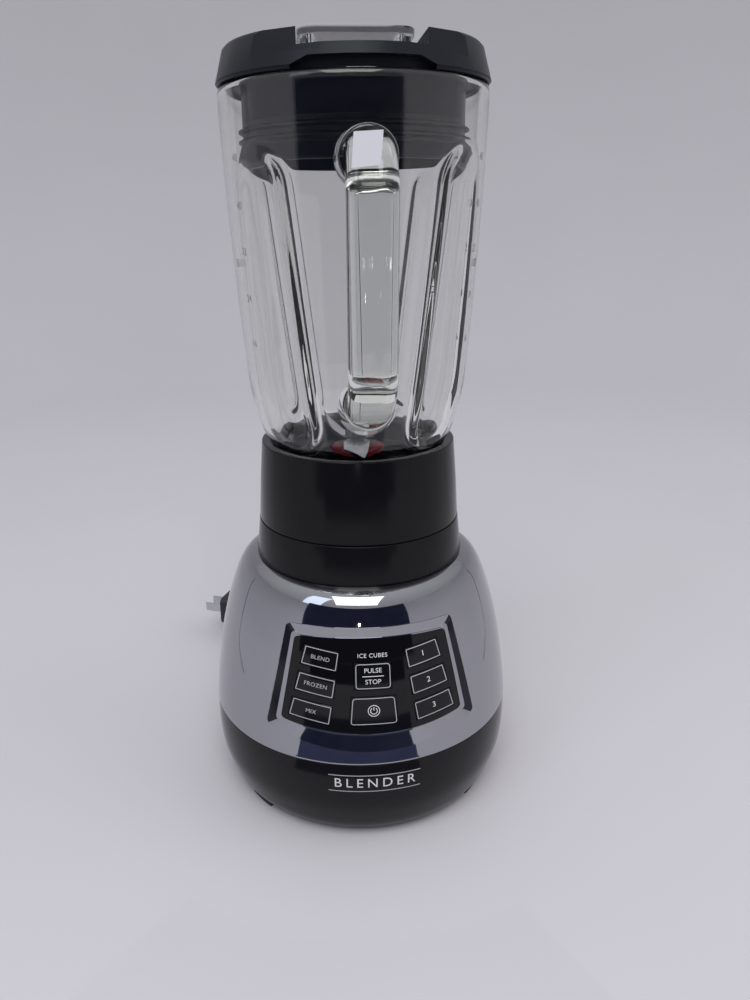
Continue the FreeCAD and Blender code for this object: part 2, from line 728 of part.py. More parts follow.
def flutes(grow):
    made = []
    for sign in (1, -1):
        for base in (0, 180):
            made.append(flute(base + sign * FLUTE_TOP_AZ, base + sign * FLUTE_BOTTOM_AZ, grow))
    return made


def handle():
    """Glass loop on the front of the jar, with a rounded boss at each end."""
    path = rounded_path(HANDLE_PATH, HANDLE_BENDS)
    w, d, c = HANDLE_WIDTH / 2, HANDLE_DEPTH / 2, 6.0
    y0, z0 = HANDLE_PATH[0][1], HANDLE_PATH[0][2]
    slab = block(-w, w, y0, y0 + 1, z0 - d, z0 + d)
    slab = slab.makeFillet(c, [e for e in slab.Edges if abs(e.Vertexes[0].Y - e.Vertexes[1].Y) > 0.5])
    section = min(slab.Faces, key=lambda f: f.CenterOfMass.y).OuterWire
    bar = path.makePipeShell([section], True, False)
    upper = rod((0, -58, 350), (0, -78, 350), UPPER_BOSS_R, UPPER_BOSS_R - 1.5)
    lower = rod((0, -49, 237.5), (0, -71, 243), LOWER_BOSS_R, LOWER_BOSS_R - 2.5)
    return [bar, upper, lower]


def glass_jar():
    """Fluted glass jar, open at the top and at the bottom, with its handle."""
    inner = offset(GLASS_OUTLINE, -GLASS_WALL)
    inner_top = (GLASS_OUTLINE[-1][0] - GLASS_WALL - 0.2, 383.0)
    inner_neck = GLASS_NECK_R - GLASS_WALL - 0.6
    crest = (64.3, GLASS_TOP_Z)
    outer_edges = [smooth([(GLASS_NECK_R, 208.0)] + GLASS_OUTLINE),
                   bend(GLASS_OUTLINE[-1], (66.2, 384.4), crest)]
    body = turned(outer_edges + flat([crest, (0, GLASS_TOP_Z), (0, GLASS_FOOT_Z),
                                      (GLASS_NECK_R, GLASS_FOOT_Z), (GLASS_NECK_R, 208.0)]))
    room_edges = [smooth([(inner_neck, 210.0)] + inner[:-1] + [inner_top])]
    room = turned(room_edges + flat([inner_top, (inner_top[0] + 0.6, 384.6), (63.6, GLASS_TOP_Z),
                                     (63.6, 390), (0, 390), (0, 190), (inner_neck, 190),
                                     (inner_neck, 210.0)]))
    room = less(room, *flutes(GLASS_WALL))
    body = less(body, *flutes(0))
    body = body.fuse(handle())
    return body.cut(room)


# ---- lid and cap --------------------------------------------------------------------------------------------
def lid():
    """Lid with a plug, a channel for the cap and a finger tab at the front."""
    outline = [(PLUG_R - 1.2, PLUG_Z), (PLUG_R, PLUG_Z + 1.2), (PLUG_R, SEAL_Z0),
               (SEAL_GROOVE_R, SEAL_Z0), (SEAL_GROOVE_R, SEAL_Z1), (PLUG_R, SEAL_Z1),
               (PLUG_R, LID_SEAT_Z), (66.4, LID_SEAT_Z), (66.8, LID_SKIRT_Z),
               (LID_SKIRT_R, LID_SKIRT_Z), (LID_SHOULDER_R, LID_TOP_Z - 1.4),
               (LID_SHOULDER_R - 1.4, LID_TOP_Z), (0, LID_TOP_Z), (0, LID_FLOOR_Z),
               (PLUG_R - PLUG_WALL, LID_FLOOR_Z), (PLUG_R - PLUG_WALL, PLUG_Z)]
    body = lathe(outline)
    channel = rounded_square(CHANNEL_HALF, 8, CHANNEL_Z, 410)
    channel = joined(channel, block(-CHANNEL_HALF, CHANNEL_HALF, -80, 0, CHANNEL_Z, 410))
    low, high = UNDERCUT_HALF
    ends = [(-low, 370), (low, 370), (low, LID_SKIRT_Z), (high, UNDERCUT_Z), (-high, UNDERCUT_Z),
            (-low, LID_SKIRT_Z), (-low, 370)]
    wedge = Part.Face(Part.makePolygon([Vec(x, -80, z) for x, z in ends])).extrude(Vec(0, 60, 0))
    undercut = ring(UNDERCUT_R, 80, LID_SEAT_Z - 2, LID_TOP_Z).common(wedge)
    (x0, y0), (x1, y1) = WING_STEP
    front = [(x0, y0), (x1, y1), (x1, -80), (x0, -80), (x0, y0)]
    step = Part.Face(Part.makePolygon([Vec(x, y, WING_STEP_Z) for x, y in front])).extrude(Vec(0, 0, 20))
    opening = rounded_square(CAP_PLUG_HALF + 0.5, CAP_CORNER_R, 380, 400)
    return less(body, channel, undercut, step, mirrored(step), opening)


def lid_seal():
    """Soft ring with two ridges around the plug."""
    outline = [(SEAL_GROOVE_R, SEAL_Z0 + 0.1), (PLUG_R, SEAL_Z0 + 0.1), (PLUG_R, SEAL_Z0 + 1.5),
               (SEAL_RIDGE_R, SEAL_Z0 + 2.4), (SEAL_RIDGE_R, SEAL_Z0 + 3.2), (PLUG_R, SEAL_Z0 + 4.2),
               (PLUG_R, SEAL_Z0 + 6.2), (SEAL_RIDGE_R, SEAL_Z0 + 7.1), (SEAL_RIDGE_R, SEAL_Z0 + 7.9),
               (PLUG_R, SEAL_Z0 + 8.9), (PLUG_R, SEAL_Z1 - 0.1), (SEAL_GROOVE_R, SEAL_Z1 - 0.1)]
    return lathe(outline)


def lid_cap():
    """Clear square cap, hollow from below."""
    body = joined(rounded_square(CAP_HALF, CAP_CORNER_R + 2, CAP_RIM_Z, CAP_TOP_Z),
                  rounded_square(CAP_WALL_HALF, CAP_CORNER_R + 1, CHANNEL_Z + REST, CAP_RIM_Z),
                  rounded_square(CAP_PLUG_HALF, CAP_CORNER_R, CAP_PLUG_Z, CHANNEL_Z + REST))
    hollow = rounded_square(CAP_PLUG_HALF - CAP_WALL, CAP_CORNER_R - 2, CAP_PLUG_Z - 1, CAP_TOP_Z - 2)
    return body.cut(hollow)


# ---- power cord --------------------------------------------------------------------------------------------
def strain_relief():
    """Tapered sleeve with a collar inside the lower shell."""
    end = Vec(*CORD_EXIT)
    along = (Vec(*CORD_ROUTE[1]) - end).normalize()
    sleeve = rod((0, 89, RELIEF_Z), (0, RELIEF_REACH, end.z), 6.2, CORD_R + 1.0)
    stub = rod((0, 77, RELIEF_Z), (0, 90, RELIEF_Z), 6.2)
    collar = rod((0, 78, RELIEF_Z), (0, 81, RELIEF_Z), 8.0)
    body = spun(joined(stub, collar, sleeve), RELIEF_TURN)
    return body.cut(Part.makeCylinder(CORD_R, 9, end, along))


def cord_coil():
    """Outer shape of the coiled lead: two turns side by side in two layers."""
    outer = COIL_MID_R + 2 * CORD_R
    inner = COIL_MID_R - 2 * CORD_R
    height = 4 * CORD_R
    return moved(ring(inner, outer, 0.1, height), COIL_X, COIL_Y)


def plug_placed(shape):
    """Turn a plug piece drawn along +X from its rear, and lay it on the coil."""
    copy = shape.copy()
    copy.rotate(ORIGIN, UP, PLUG_YAW)
    copy.translate(Vec(TAIL_ROUTE[-1][0], TAIL_ROUTE[-1][1], PLUG_Z0))
    return copy


def power_plug():
    length, width, height = PLUG_HEAD
    head = block(8, 8 + length, -width / 2, width / 2, 0, height)
    head = head.makeFillet(4, [e for e in head.Edges if abs(e.Vertexes[0].X - e.Vertexes[1].X) > 1])
    neck = rod((-6, 0, height / 2), (10, 0, height / 2), CORD_R + 1.2, 7.5)
    body = plug_placed(joined(head, neck).cut(rod((-8, 0, height / 2), (0, 0, height / 2), CORD_R)))
    return less(body, *plug_blades())


def plug_blades():
    length, _, height = PLUG_HEAD
    front = 8 + length
    return [plug_placed(block(front - 6, front + PIN_LENGTH, s * 6.35 - 0.8, s * 6.35 + 0.8,
                              height / 2 - 3.2, height / 2 + 3.2)) for s in (1, -1)]


# ---- write every node ----------------------------------------------------------------------------------------
def main():
    os.makedirs("parts", exist_ok=True)
    outlines = key_outlines()
    frame_prism = panel_prism(FRAME_TOP, FRAME_BOTTOM, FRAME_TOP_MID_V, FRAME_BOTTOM_MID_V, 6)
    window_prism = panel_prism(WINDOW_TOP, WINDOW_BOTTOM, WINDOW_TOP_MID_V, WINDOW_BOTTOM_MID_V, 4)
    skin = dome_core(0)
    lining = dome_core(-WALL)
    slab = dome_core(-KEY_SUNK).cut(dome_core(-KEY_SUNK - KEY_THICK))
    save("lower_shell", lower_shell())
    save("dome", dome(frame_prism, skin, lining))
    save("neck_ring", neck_ring())
    bezel = dome_core(FRAME_PROUD).cut(lining)
    save("panel_frame", bezel.common(frame_prism.cut(window_prism)))
    save("control_panel", fascia(window_prism, outlines))
    save("bottom_cover", bottom_cover())
    save("feet", *feet())
    save("cover_screws", *cover_screws())
    stem_core = dome_core(-KEY_SUNK - 1)
    for name, outline in outlines.items():
        save(name, key(outline, slab, stem_core))
    save("tactile_switches", *switches(outlines))
    save("control_board", control_board())
    save("lower_bracket", lower_bracket())
    save("upper_bracket", upper_bracket())
    save("lower_bearing", bearing(LOWER_BEARING_Z))
    save("upper_bearing", bearing(UPPER_BEARING_Z))
    save("rubber_mounts", *[rubber_mount(x, y) for x in (MOUNT_X, -MOUNT_X) for y in (MOUNT_Y, -MOUNT_Y)])
    save("stator_core", stator_core())
    save("field_coils", *field_coils())
    holder = brush_holder()
    save("brush_holders", holder, spun(holder, 180))
    save("carbon_brushes", brush(), spun(brush(), 180))
    save("motor_screws", *motor_screws())
    save("motor_shaft", motor_shaft())
    save("armature_core", armature_core())
    save("armature_winding", *armature_winding())
    save("commutator", commutator())
    save("cooling_fan", cooling_fan())
    save("drive_coupling", drive_coupling())
    save("jar_base", jar_base())
    save("blade_holder", blade_holder())
    save("blade_bush", blade_bush())
    save("jar_gasket", jar_gasket())
    save("hub_seal", hub_seal())
    save("blade_shaft", blade_shaft())
    save("blade_coupling", blade_coupling())
    save("lower_blades", blade_pair(BLADES_Z, 33, 8, 82))
    save("upper_blades", blade_pair(BLADES_Z + BLADE_T, 29, -38, 172))
    save("blade_nut", blade_nut())
    save("glass_jar", glass_jar())
    save("lid", lid())
    save("lid_seal", lid_seal())
    save("lid_cap", lid_cap())
    save("strain_relief", strain_relief())
    save("power_cord", cord_tube("power_cord", CORD_ROUTE))
    save("power_cord_coil", cord_coil())
    save("power_cord_tail", cord_tube("power_cord_tail", TAIL_ROUTE))
    save("power_plug", power_plug())
    save("plug_blades", *plug_blades())


main()
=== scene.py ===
import bmesh
import bpy
import numpy as np
from math import cos, pi, radians, sin, sqrt, tan
from mathutils import Matrix, Vector

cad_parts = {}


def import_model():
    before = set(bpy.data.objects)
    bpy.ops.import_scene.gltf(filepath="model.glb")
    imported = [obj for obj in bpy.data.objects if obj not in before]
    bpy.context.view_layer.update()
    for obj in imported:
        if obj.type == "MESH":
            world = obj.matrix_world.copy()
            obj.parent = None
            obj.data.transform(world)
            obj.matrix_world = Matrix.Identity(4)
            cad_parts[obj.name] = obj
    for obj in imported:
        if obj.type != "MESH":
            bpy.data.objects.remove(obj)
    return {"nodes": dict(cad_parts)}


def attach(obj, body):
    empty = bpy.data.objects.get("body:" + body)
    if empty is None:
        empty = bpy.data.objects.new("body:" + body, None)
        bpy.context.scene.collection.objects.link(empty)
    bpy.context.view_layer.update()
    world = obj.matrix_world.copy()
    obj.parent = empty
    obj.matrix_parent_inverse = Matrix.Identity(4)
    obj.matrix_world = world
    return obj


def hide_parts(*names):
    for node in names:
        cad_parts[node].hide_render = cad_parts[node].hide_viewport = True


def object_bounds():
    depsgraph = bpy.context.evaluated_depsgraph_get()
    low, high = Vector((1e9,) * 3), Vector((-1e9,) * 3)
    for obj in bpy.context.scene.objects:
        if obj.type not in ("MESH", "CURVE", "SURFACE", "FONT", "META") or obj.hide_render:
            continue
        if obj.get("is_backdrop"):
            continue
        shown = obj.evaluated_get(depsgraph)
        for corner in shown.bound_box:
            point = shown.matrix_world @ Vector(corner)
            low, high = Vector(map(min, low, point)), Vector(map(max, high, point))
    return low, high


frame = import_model()
cad_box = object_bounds()

# Countertop blender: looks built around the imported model. Sizes are in millimetres, as in the part's
# own source, and become metres when a mesh is made. The panel and the handle face -Y.

MM = 0.001
CREASE = 35                     # edges sharper than this many degrees stay sharp

# outer outlines as (radius, height)
LOWER_OUTLINE = [(77, 2.5), (81.5, 8), (84.5, 15), (87.4, 25), (88.5, 35), (88.7, 45), (88.3, 53.4)]
DOME_OUTLINE = [(88.8, 53.4), (88, 62), (86.2, 76), (83.6, 92), (80.3, 107), (76.6, 120),
                (73.5, 129), (70, 136.5), (65.5, 141.5), (60, 143.3)]
GLASS_OUTLINE = [(47.6, 208), (50.9, 212.5), (54.8, 223), (57.8, 236), (60.2, 257), (62.2, 284),
                 (63.8, 310), (65.2, 334), (66.2, 358), (66.8, 381.5)]
SHELL_WALL = 2.5
GLASS_WALL = 4.0
GLASS_FOOT_Z = 193.4
GLASS_TOP_Z = 385.5
GLASS_NECK_R = 47.6
GLASS_NECK_IN_R = 43.0
GLASS_RIM = [(66.75, 382.8), (66.3, 384.1), (65.5, 385.0), (64.3, GLASS_TOP_Z)]

# whole sections and edges as (radius, height)
LOWER_RIM = [(88.3, 52.9), (88.0, 53.4), (86.0, 53.4)]
LOWER_FOOT = [(74.6, 7), (74.6, 2.5)]
DOME_TOP_EDGE = [(60.0, 143.3), (58.2, 143.2), (57.9, 142.8), (57.9, 140.9)]
DOME_FOOT_EDGE = [(86.4, 53.42), (88.2, 53.42), (88.6, 53.5)]
NECK_SECTION = [(59.7, 143.3), (57.35, 164.6), (53.6, 164.6), (53.6, 151), (21, 151), (21, 148), (53.5, 148),
                (53.5, 137), (57.5, 137), (57.5, 143.3)]
JAR_BASE_SECTION = [(53, 153), (53, 164.9), (57.2, 164.9), (55.8, 187), (54, 209.5), (48.8, 209.1),
                    (48.0, 208.1), (48.0, 187), (40, 187), (40, 183.5), (49.5, 183.5), (49.5, 153)]

# control panel: u to the right and v up the slope of a plane tilted back, as in the part
PANEL_TILT = radians(12)
PANEL_Y = -84.0
PANEL_Z = 96.0
WINDOW = (39.6, 27.2, 48.6, -18.3, 26.4, -25.0)     # top half width and v, bottom ones, middle v's
BEZEL = (43.6, 34.3, 57.0, -22.7, 32.3, -34.7)
WINDOW_CORNER = 2.4
BEZEL_CORNER = 2.5
UNDER_BEZEL = 0.93              # how far out below the bezel the dome is open, as a share of its width
BEZEL_LIP = (0.36, 0.10)        # share of the bezel's width that its lip takes at the sides, and elsewhere
# rows across the bezel: (start, share of the lip) for its place from window to edge, and lift off the dome
BEZEL_ROWS = [((0, 0), -3.2), ((0, 0), -0.8), ((0.02, 0), -0.45), ((0, 1), -0.45), ((0.02, 1), -0.75),
              ((0.96, 0), 0.55), ((0.985, 0), 0.6), ((1, 0), 0.4), ((1, 0), -2.2)]
SLOPE_ROW = 4                   # row of the bezel where its sloping faces start
PANEL_SINK = -0.8
PANEL_THICK = 2.2
KEY_SINK = -0.3
KEY_DEPTH = 2.7
KEY_EDGE = 0.2
KEY_GAP = 0.35
KEY_STEPS = 14                  # points along each side of a key
KEY_SLOPE = 0.18
CUT = 30                        # reach of a cutting prism to either side of the panel's plane

# lettering and printed lines
PRINT_LOW, PRINT_HIGH = -0.02, 0.03     # underside and top of a line, off the surface below
WORD_SIZE = 3.1
MIDDLE_WORD_SIZE = 3.5
DIGIT_SIZE = 4.3
BORDER_INSET = 0.75
BORDER_WIDTH = 0.42
BADGE_R = 88.5                  # radius that the badge is bent to
BADGE_SIZE = 8.0
BADGE_Z = 41.6
BADGE_HALF = 25                 # half the length of its lines
BADGE_LINES = {"shell_line_upper": 46.6, "shell_line_lower": 36.6}

# glass flutes, handle and graduations
FLUTE_TOP = (73.3, 338.5)
FLUTE_BOTTOM = (61.5, 226.0)
FLUTE_AZ = (47.5, 43.0)         # at the top and at the bottom, from the front or the back
FLUTE_R = (13.5, 14.5)
FLUTE_BLEND = (4.0, 7.0)        # rounding of a flute's edges, outside and inside
HANDLE_PATH = [(0, -57, 350), (0, -94, 350), (0, -90.5, 249), (0, -51, 235)]
HANDLE_BENDS = (17.0, 19.0)
HANDLE_SIZE = (22.0, 17.0)      # width and depth of its section
HANDLE_ROUNDING = 8.0
# bosses that the handle grows from: start, end, radius and end radius
BOSSES = {"upper_boss": ((0, -58, 350), (0, -78, 350), 14.5, 13.0),
          "lower_boss": ((0, -49, 237.5), (0, -71, 243), 15.0, 12.5)}
BOSS_EDGE = 2.0
FLUTED_AROUND = 320             # points round the jar
MARKS = ((48, 352.6), (40, 331.6), (32, 310.7), (24, 288.6), (16, 266.5))     # graduations and their heights
MARK_AZ = 62
MARK_R = 64                     # radius that the digits are bent to
MARK_SIZE = 5.0
LABEL_PLACE = (-2.6, -103.0, 350.6)     # just in front of the handle's upper bend
LABEL_CORNERS = [(-6.6, -6.6), (4.9, -5.6), (6.0, 7.0), (-5.6, 6.4)]
LABEL_THICK = 0.15

# lid, as (radius, height) of its section, and the cuts in it
LID_OUTLINE = [(54.1, 351), (55.3, 352.2), (55.3, 358), (54.3, 358), (54.3, 369), (55.3, 369), (55.3, 385.6),
               (66.4, 385.6), (66.8, 387), (67.3, 387), (63.4, 400.8), (62, 402.2), (10, 402.2), (10, 391),
               (52.3, 391), (52.3, 351)]
CAP_CHANNEL = (28.4, 395)       # half width and floor
CAP_OPENING = 23.5              # half width
CHANNEL_CORNER, OPENING_CORNER = 8, 7
# gap under the tab, as (x, height)
UNDERCUT = [(-31.5, 370), (31.5, 370), (31.5, 387), (24, 390.2), (-24, 390.2), (-31.5, 387)]
WING_LINE = ((18.5, -63.3), (48.5, -44.7))          # the front of a wing is set back to this line
WING_LEDGE = 392.4
WING_SLOPE = 0.283
ABOVE_LID = 410

# power cord
CORD_R = 3.3
CORD_ROUTE = [(-26.6, 106.7, 17), (-29.7, 119.3, 13.7), (-36.6, 130.3, 10.1), (-46.6, 138.7, 6.8),
              (-58.3, 144.4, 4), (-70.6, 148.4, 3.4)]
TAIL_ROUTE = [(-17.1, 169.9, 16.9), (-23.2, 159.6, 18.8), (-32.5, 152, 20.8), (-43.9, 148.2, 22.9),
              (-55.9, 148.6, 24.2), (-67.2, 153.1, 24.4)]
COIL_CENTRE = (-56.0, 186.6)
COIL_OUTER = 39.6
COIL_INNER = 33.0
COIL_STEPS = 24                 # points for each turn

# camera, in metres and degrees, with its lens in millimetres
CAMERA_REACH = 0.440
CAMERA_HEIGHT = 0.3255
CAMERA_TURN = 4.5
CAMERA_PITCH = 19.4
CAMERA_ROLL = -0.73
CAMERA_LENS = 28.8
CAMERA_SHIFT = 0.0165           # share of the picture's longer side


# ---- curves -----------------------------------------------------------------------------------------
def smooth(points, per_run=8):
    """Points along the natural cubic spline through (radius, height) points."""
    p = np.array(points, float)
    t = np.concatenate([[0], np.cumsum(np.hypot(*np.diff(p, axis=0).T))])
    h = np.diff(t)
    n = len(p)
    a = np.eye(n)
    b = np.zeros((n, 2))
    for i in range(1, n - 1):
        a[i, i - 1:i + 2] = h[i - 1], 2 * (h[i - 1] + h[i]), h[i]
        b[i] = 6 * ((p[i + 1] - p[i]) / h[i] - (p[i] - p[i - 1]) / h[i - 1])
    m = np.linalg.solve(a, b)
    made = []
    for i in range(n - 1):
        for k in range(per_run):
            x = h[i] * k / per_run
            y = h[i] - x
            made.append((m[i] * y ** 3 + m[i + 1] * x ** 3) / (6 * h[i])
                        + (p[i] / h[i] - m[i] * h[i] / 6) * y + (p[i + 1] / h[i] - m[i + 1] * h[i] / 6) * x)
    return [tuple(q) for q in made] + [tuple(p[-1])]


def offset(points, distance):
    """The outline moved outwards by distance, or inwards when it is negative."""
    p = np.array(points, float)
    run = np.gradient(p, axis=0)
    run /= np.hypot(run[:, 0], run[:, 1])[:, None]
    return [tuple(q) for q in p + distance * np.stack([run[:, 1], -run[:, 0]], axis=1)]


def eased(points, radius, steps=4):
    """Closed outline with its corners rounded."""
    made = []
    for i, point in enumerate(points):
        corner = Vector(point)
        before = Vector(points[i - 1]) - corner
        after = Vector(points[(i + 1) % len(points)]) - corner
        reach = min(radius, before.length / 2.1, after.length / 2.1)
        a = corner + before.normalized() * reach
        c = corner + after.normalized() * reach
        for k in range(steps + 1):
            s = k / steps
            made.append(tuple(a * (1 - s) ** 2 + corner * 2 * s * (1 - s) + c * s ** 2))
    return made


def rounded_path(points, radii, steps=14):
    """Straight runs joined by arcs, as a list of points."""
    points = [Vector(p) for p in points]
    made = [points[0]]
    for before, corner, after, radius in zip(points, points[1:], points[2:], radii):
        back = (before - corner).normalized()
        on = (after - corner).normalized()
        half = (pi - back.angle(on)) / 2
        reach = radius * tan(half)
        start = corner + back * reach
        centre = corner + (back + on).normalized() * (radius / cos(half))
        arm = start - centre
        axis = arm.cross(corner + on * reach - centre).normalized()
        for k in range(steps + 1):
            made.append(centre + Matrix.Rotation(2 * half * k / steps, 3, axis) @ arm)
    return made + [points[-1]]


# ---- meshes -----------------------------------------------------------------------------------------
def piece(name, verts, faces, material, crease=CREASE):
    """A mesh object from points in millimetres."""
    mesh = bpy.data.meshes.new(name)
    mesh.from_pydata([Vector(v) * MM for v in verts], [], faces)
    obj = bpy.data.objects.new(name, mesh)
    bpy.context.scene.collection.objects.link(obj)
    if material:
        mesh.materials.append(material)
    finish_mesh(obj, crease)
    return obj


def finish_mesh(obj, crease=CREASE):
    """Face every side outwards and shade it smooth, except over sharp edges."""
    work = bmesh.new()
    work.from_mesh(obj.data)
    bmesh.ops.remove_doubles(work, verts=work.verts, dist=1e-7)
    bmesh.ops.recalc_face_normals(work, faces=work.faces)
    work.to_mesh(obj.data)
    work.free()
    obj.data.shade_smooth()
    obj.data.set_sharp_from_angle(angle=radians(crease))


def ring_faces(rows, columns, closed=True):
    """Quads between rows that are loops of points; when closed, the last row also joins the first."""
    count = rows if closed else rows - 1
    return [(i * columns + j, i * columns + (j + 1) % columns,
             (i + 1) % rows * columns + (j + 1) % columns, (i + 1) % rows * columns + j)
            for i in range(count) for j in range(columns)]


def sheet_faces(rows, columns, start=0):
    """Quads of an open grid of points that begins at start."""
    return [(start + i * columns + j, start + i * columns + j + 1,
             start + (i + 1) * columns + j + 1, start + (i + 1) * columns + j)
            for i in range(rows - 1) for j in range(columns - 1)]


def end_faces(count, columns):
    """The two faces that close a stack of rows, given the number of points in all and in a row."""
    return [tuple(range(columns)), tuple(range(count - columns, count))]


def lathe(name, outline, material, around=256):
    """Solid of revolution of a closed outline."""
    verts = [(r * cos(2 * pi * k / around), r * sin(2 * pi * k / around), z)
             for r, z in outline for k in range(around)]
    return piece(name, verts, ring_faces(len(outline), around), material)


def prism(name, outline, low, high, place=None):
    """Prism from low to high, square to the panel unless place maps (u, v, w) to another frame."""
    place = place or panel_point
    verts = [place(u, v, w) for w in (low, high) for u, v in outline]
    n = len(outline)
    faces = [tuple(range(n)), tuple(range(n, 2 * n))]
    faces += [(k, (k + 1) % n, n + (k + 1) % n, n + k) for k in range(n)]
    return piece(name, verts, faces, None)


def boolean(target, tool, operation):
    """Change the target's mesh by the tool's, and drop the tool."""
    step = target.modifiers.new(operation, "BOOLEAN")
    step.object = tool
    step.operation = operation
    step.solver = "EXACT"
    shown = target.evaluated_get(bpy.context.evaluated_depsgraph_get())
    mesh = bpy.data.meshes.new_from_object(shown)
    target.modifiers.clear()
    target.data = mesh
    bpy.data.objects.remove(tool)
    finish_mesh(target)
    return target


def sweep(name, path, section, material):
    """Closed bar that carries a section, given as (x, normal) points, along a path in the YZ plane."""
    verts = []
    for i, point in enumerate(path):
        run = (path[min(i + 1, len(path) - 1)] - path[max(i - 1, 0)]).normalized()
        across = Vector((0, -run.z, run.y))
        verts += [point + Vector((x, 0, 0)) + across * n for x, n in section]
    n = len(section)
    faces = ring_faces(len(path), n, closed=False) + end_faces(len(verts), n)
    return piece(name, verts, faces, material)


# ---- panel geometry ---------------------------------------------------------------------------------
dome_skin = smooth(DOME_OUTLINE)
lifted = {}                     # the skin's outline at every lift asked for so far


def panel_point(u, v, w):
    """Point at (u, v) of the panel's plane, raised by w."""
    return Vector((u, PANEL_Y + v * sin(PANEL_TILT) - w * cos(PANEL_TILT),
                   PANEL_Z + v * cos(PANEL_TILT) + w * sin(PANEL_TILT)))


def on_dome(u, v, lift=0.0):
    """Point of the dome's skin, raised by lift, that stands over (u, v) of the panel's plane."""
    if lift not in lifted:
        lifted[lift] = np.array(offset(dome_skin, lift)).T
    radii, heights = lifted[lift]
    z = PANEL_Z + v * cos(PANEL_TILT)
    for _ in range(7):
        y = -sqrt(np.interp(z, heights, radii) ** 2 - u * u)
        w = (PANEL_Y + v * sin(PANEL_TILT) - y) / cos(PANEL_TILT)
        z = PANEL_Z + v * cos(PANEL_TILT) + w * sin(PANEL_TILT)
    return Vector((u, y, z))


def panel_outline(size, corner, steps=24):
    """Points round the panel or its bezel: bowed top, right side, bowed bottom and left side."""
    top_u, top_v, low_u, low_v, top_mid, low_mid = size

    def bowed(half, v, mid, u):
        return (u, v + (mid - v) * (1 - (u / half) ** 2))

    sides = []
    for half, v, mid, sign in ((top_u, top_v, top_mid, 1), (low_u, low_v, low_mid, -1)):
        reach = half - corner
        run = [bowed(half, v, mid, sign * reach * (2 * k / steps - 1)) for k in range(steps + 1)]
        sides.append([Vector(p) for p in run])
    right = [Vector((top_u, top_v)), Vector((low_u, low_v))]
    corners = [right[0], right[1], Vector((-low_u, low_v)), Vector((-top_u, top_v))]
    straight = []
    for a, b in ((corners[0], corners[1]), (corners[2], corners[3])):
        along = (b - a).normalized() * corner
        straight.append([a + along + (b - a - 2 * along) * k / steps for k in range(steps + 1)])
    order = [sides[0], straight[0], sides[1], straight[1]]
    made = []
    for i, run in enumerate(order):
        made += run
        after = order[(i + 1) % 4][0]
        for k in range(1, 6):
            s = k / 6
            made.append(run[-1] * (1 - s) ** 2 + corners[i] * 2 * s * (1 - s) + after * s * s)
    return made


def between_outlines(share, bezel_corner=BEZEL_CORNER):
    """Outline at a share of the way from the panel's window to the bezel's outer edge."""
    return [a.lerp(b, share)
            for a, b in zip(panel_outline(WINDOW, WINDOW_CORNER), panel_outline(BEZEL, bezel_corner))]


def key_outlines():
    """Four (u, v) corners of each key, by name, as in the part."""
    made = {}
    for row, left in enumerate(("key_blend", "key_frozen", "key_mix")):
        top = 19.9 - 14.65 * row
        corners = []
        for v, outer in ((top, 0), (top, 1), (top - 10.5, 1), (top - 10.5, 0)):
            reach = (18.6 - 0.153 * (v - 9), 37.4 - 0.25 * (v - 9))
            corners.append((reach[outer], v + outer * KEY_SLOPE * (reach[1] - reach[0])))
        made[f"key_speed_{row + 1}"] = corners
        made[left] = [(-u, v) for u, v in reversed(corners)]
    made["key_pulse"] = [(-9.5, 14.0), (9.5, 14.0), (9.7, -0.3), (-9.7, -0.3)]
    made["key_power"] = [(-11.5, -4.3), (11.5, -4.3), (12.8, -20.0), (-12.8, -20.0)]
    return made


def middle(corners):
    """Mean of the corners."""
    return tuple(sum(p[i] for p in corners) / len(corners) for i in (0, 1))


def grown(corners, gap):
    """The outline with every corner moved away from the middle by gap in u and in v."""
    mid = middle(corners)
    return [tuple(p[i] + (gap if p[i] > mid[i] else -gap) for i in (0, 1)) for p in corners]


# ---- materials --------------------------------------------------------------------------------------
def surface(name, shades, roughness, scale=900.0, bump=0.02, cloud=18.0, **sockets):
    """Principled surface: two shades in soft clouds, uneven gloss and a fine moulded grain."""
    material = bpy.data.materials.new(name)
    material.use_nodes = True
    nodes, links = material.node_tree.nodes, material.node_tree.links
    shader = nodes["Principled BSDF"]
    for socket, value in sockets.items():
        shader.inputs[socket.replace("_", " ")].default_value = value
    place = nodes.new("ShaderNodeTexCoord").outputs["Object"]

    def noise(size, detail):
        node = nodes.new("ShaderNodeTexNoise")
        node.inputs["Scale"].default_value = size
        node.inputs["Detail"].default_value = detail
        links.new(place, node.inputs["Vector"])
        return node.outputs["Fac"]

    clouds = noise(cloud, 4)
    mix = nodes.new("ShaderNodeMix")
    mix.data_type = "RGBA"
    mix.inputs["A"].default_value = (*shades[0], 1)
    mix.inputs["B"].default_value = (*shades[1], 1)
    links.new(clouds, mix.inputs["Factor"])
    links.new(mix.outputs["Result"], shader.inputs["Base Color"])
    gloss = nodes.new("ShaderNodeMapRange")
    gloss.inputs["From Min"].default_value = 0.3
    gloss.inputs["From Max"].default_value = 0.7
    gloss.inputs["To Min"].default_value = roughness[0]
    gloss.inputs["To Max"].default_value = roughness[1]
    links.new(noise(cloud * 3.1, 6), gloss.inputs["Value"])
    links.new(gloss.outputs["Result"], shader.inputs["Roughness"])
    if bump:
        relief = nodes.new("ShaderNodeBump")
        relief.inputs["Strength"].default_value = bump
        relief.inputs["Distance"].default_value = 0.0002
        links.new(noise(scale, 3), relief.inputs["Height"])
        links.new(relief.outputs["Normal"], shader.inputs["Normal"])
    return material


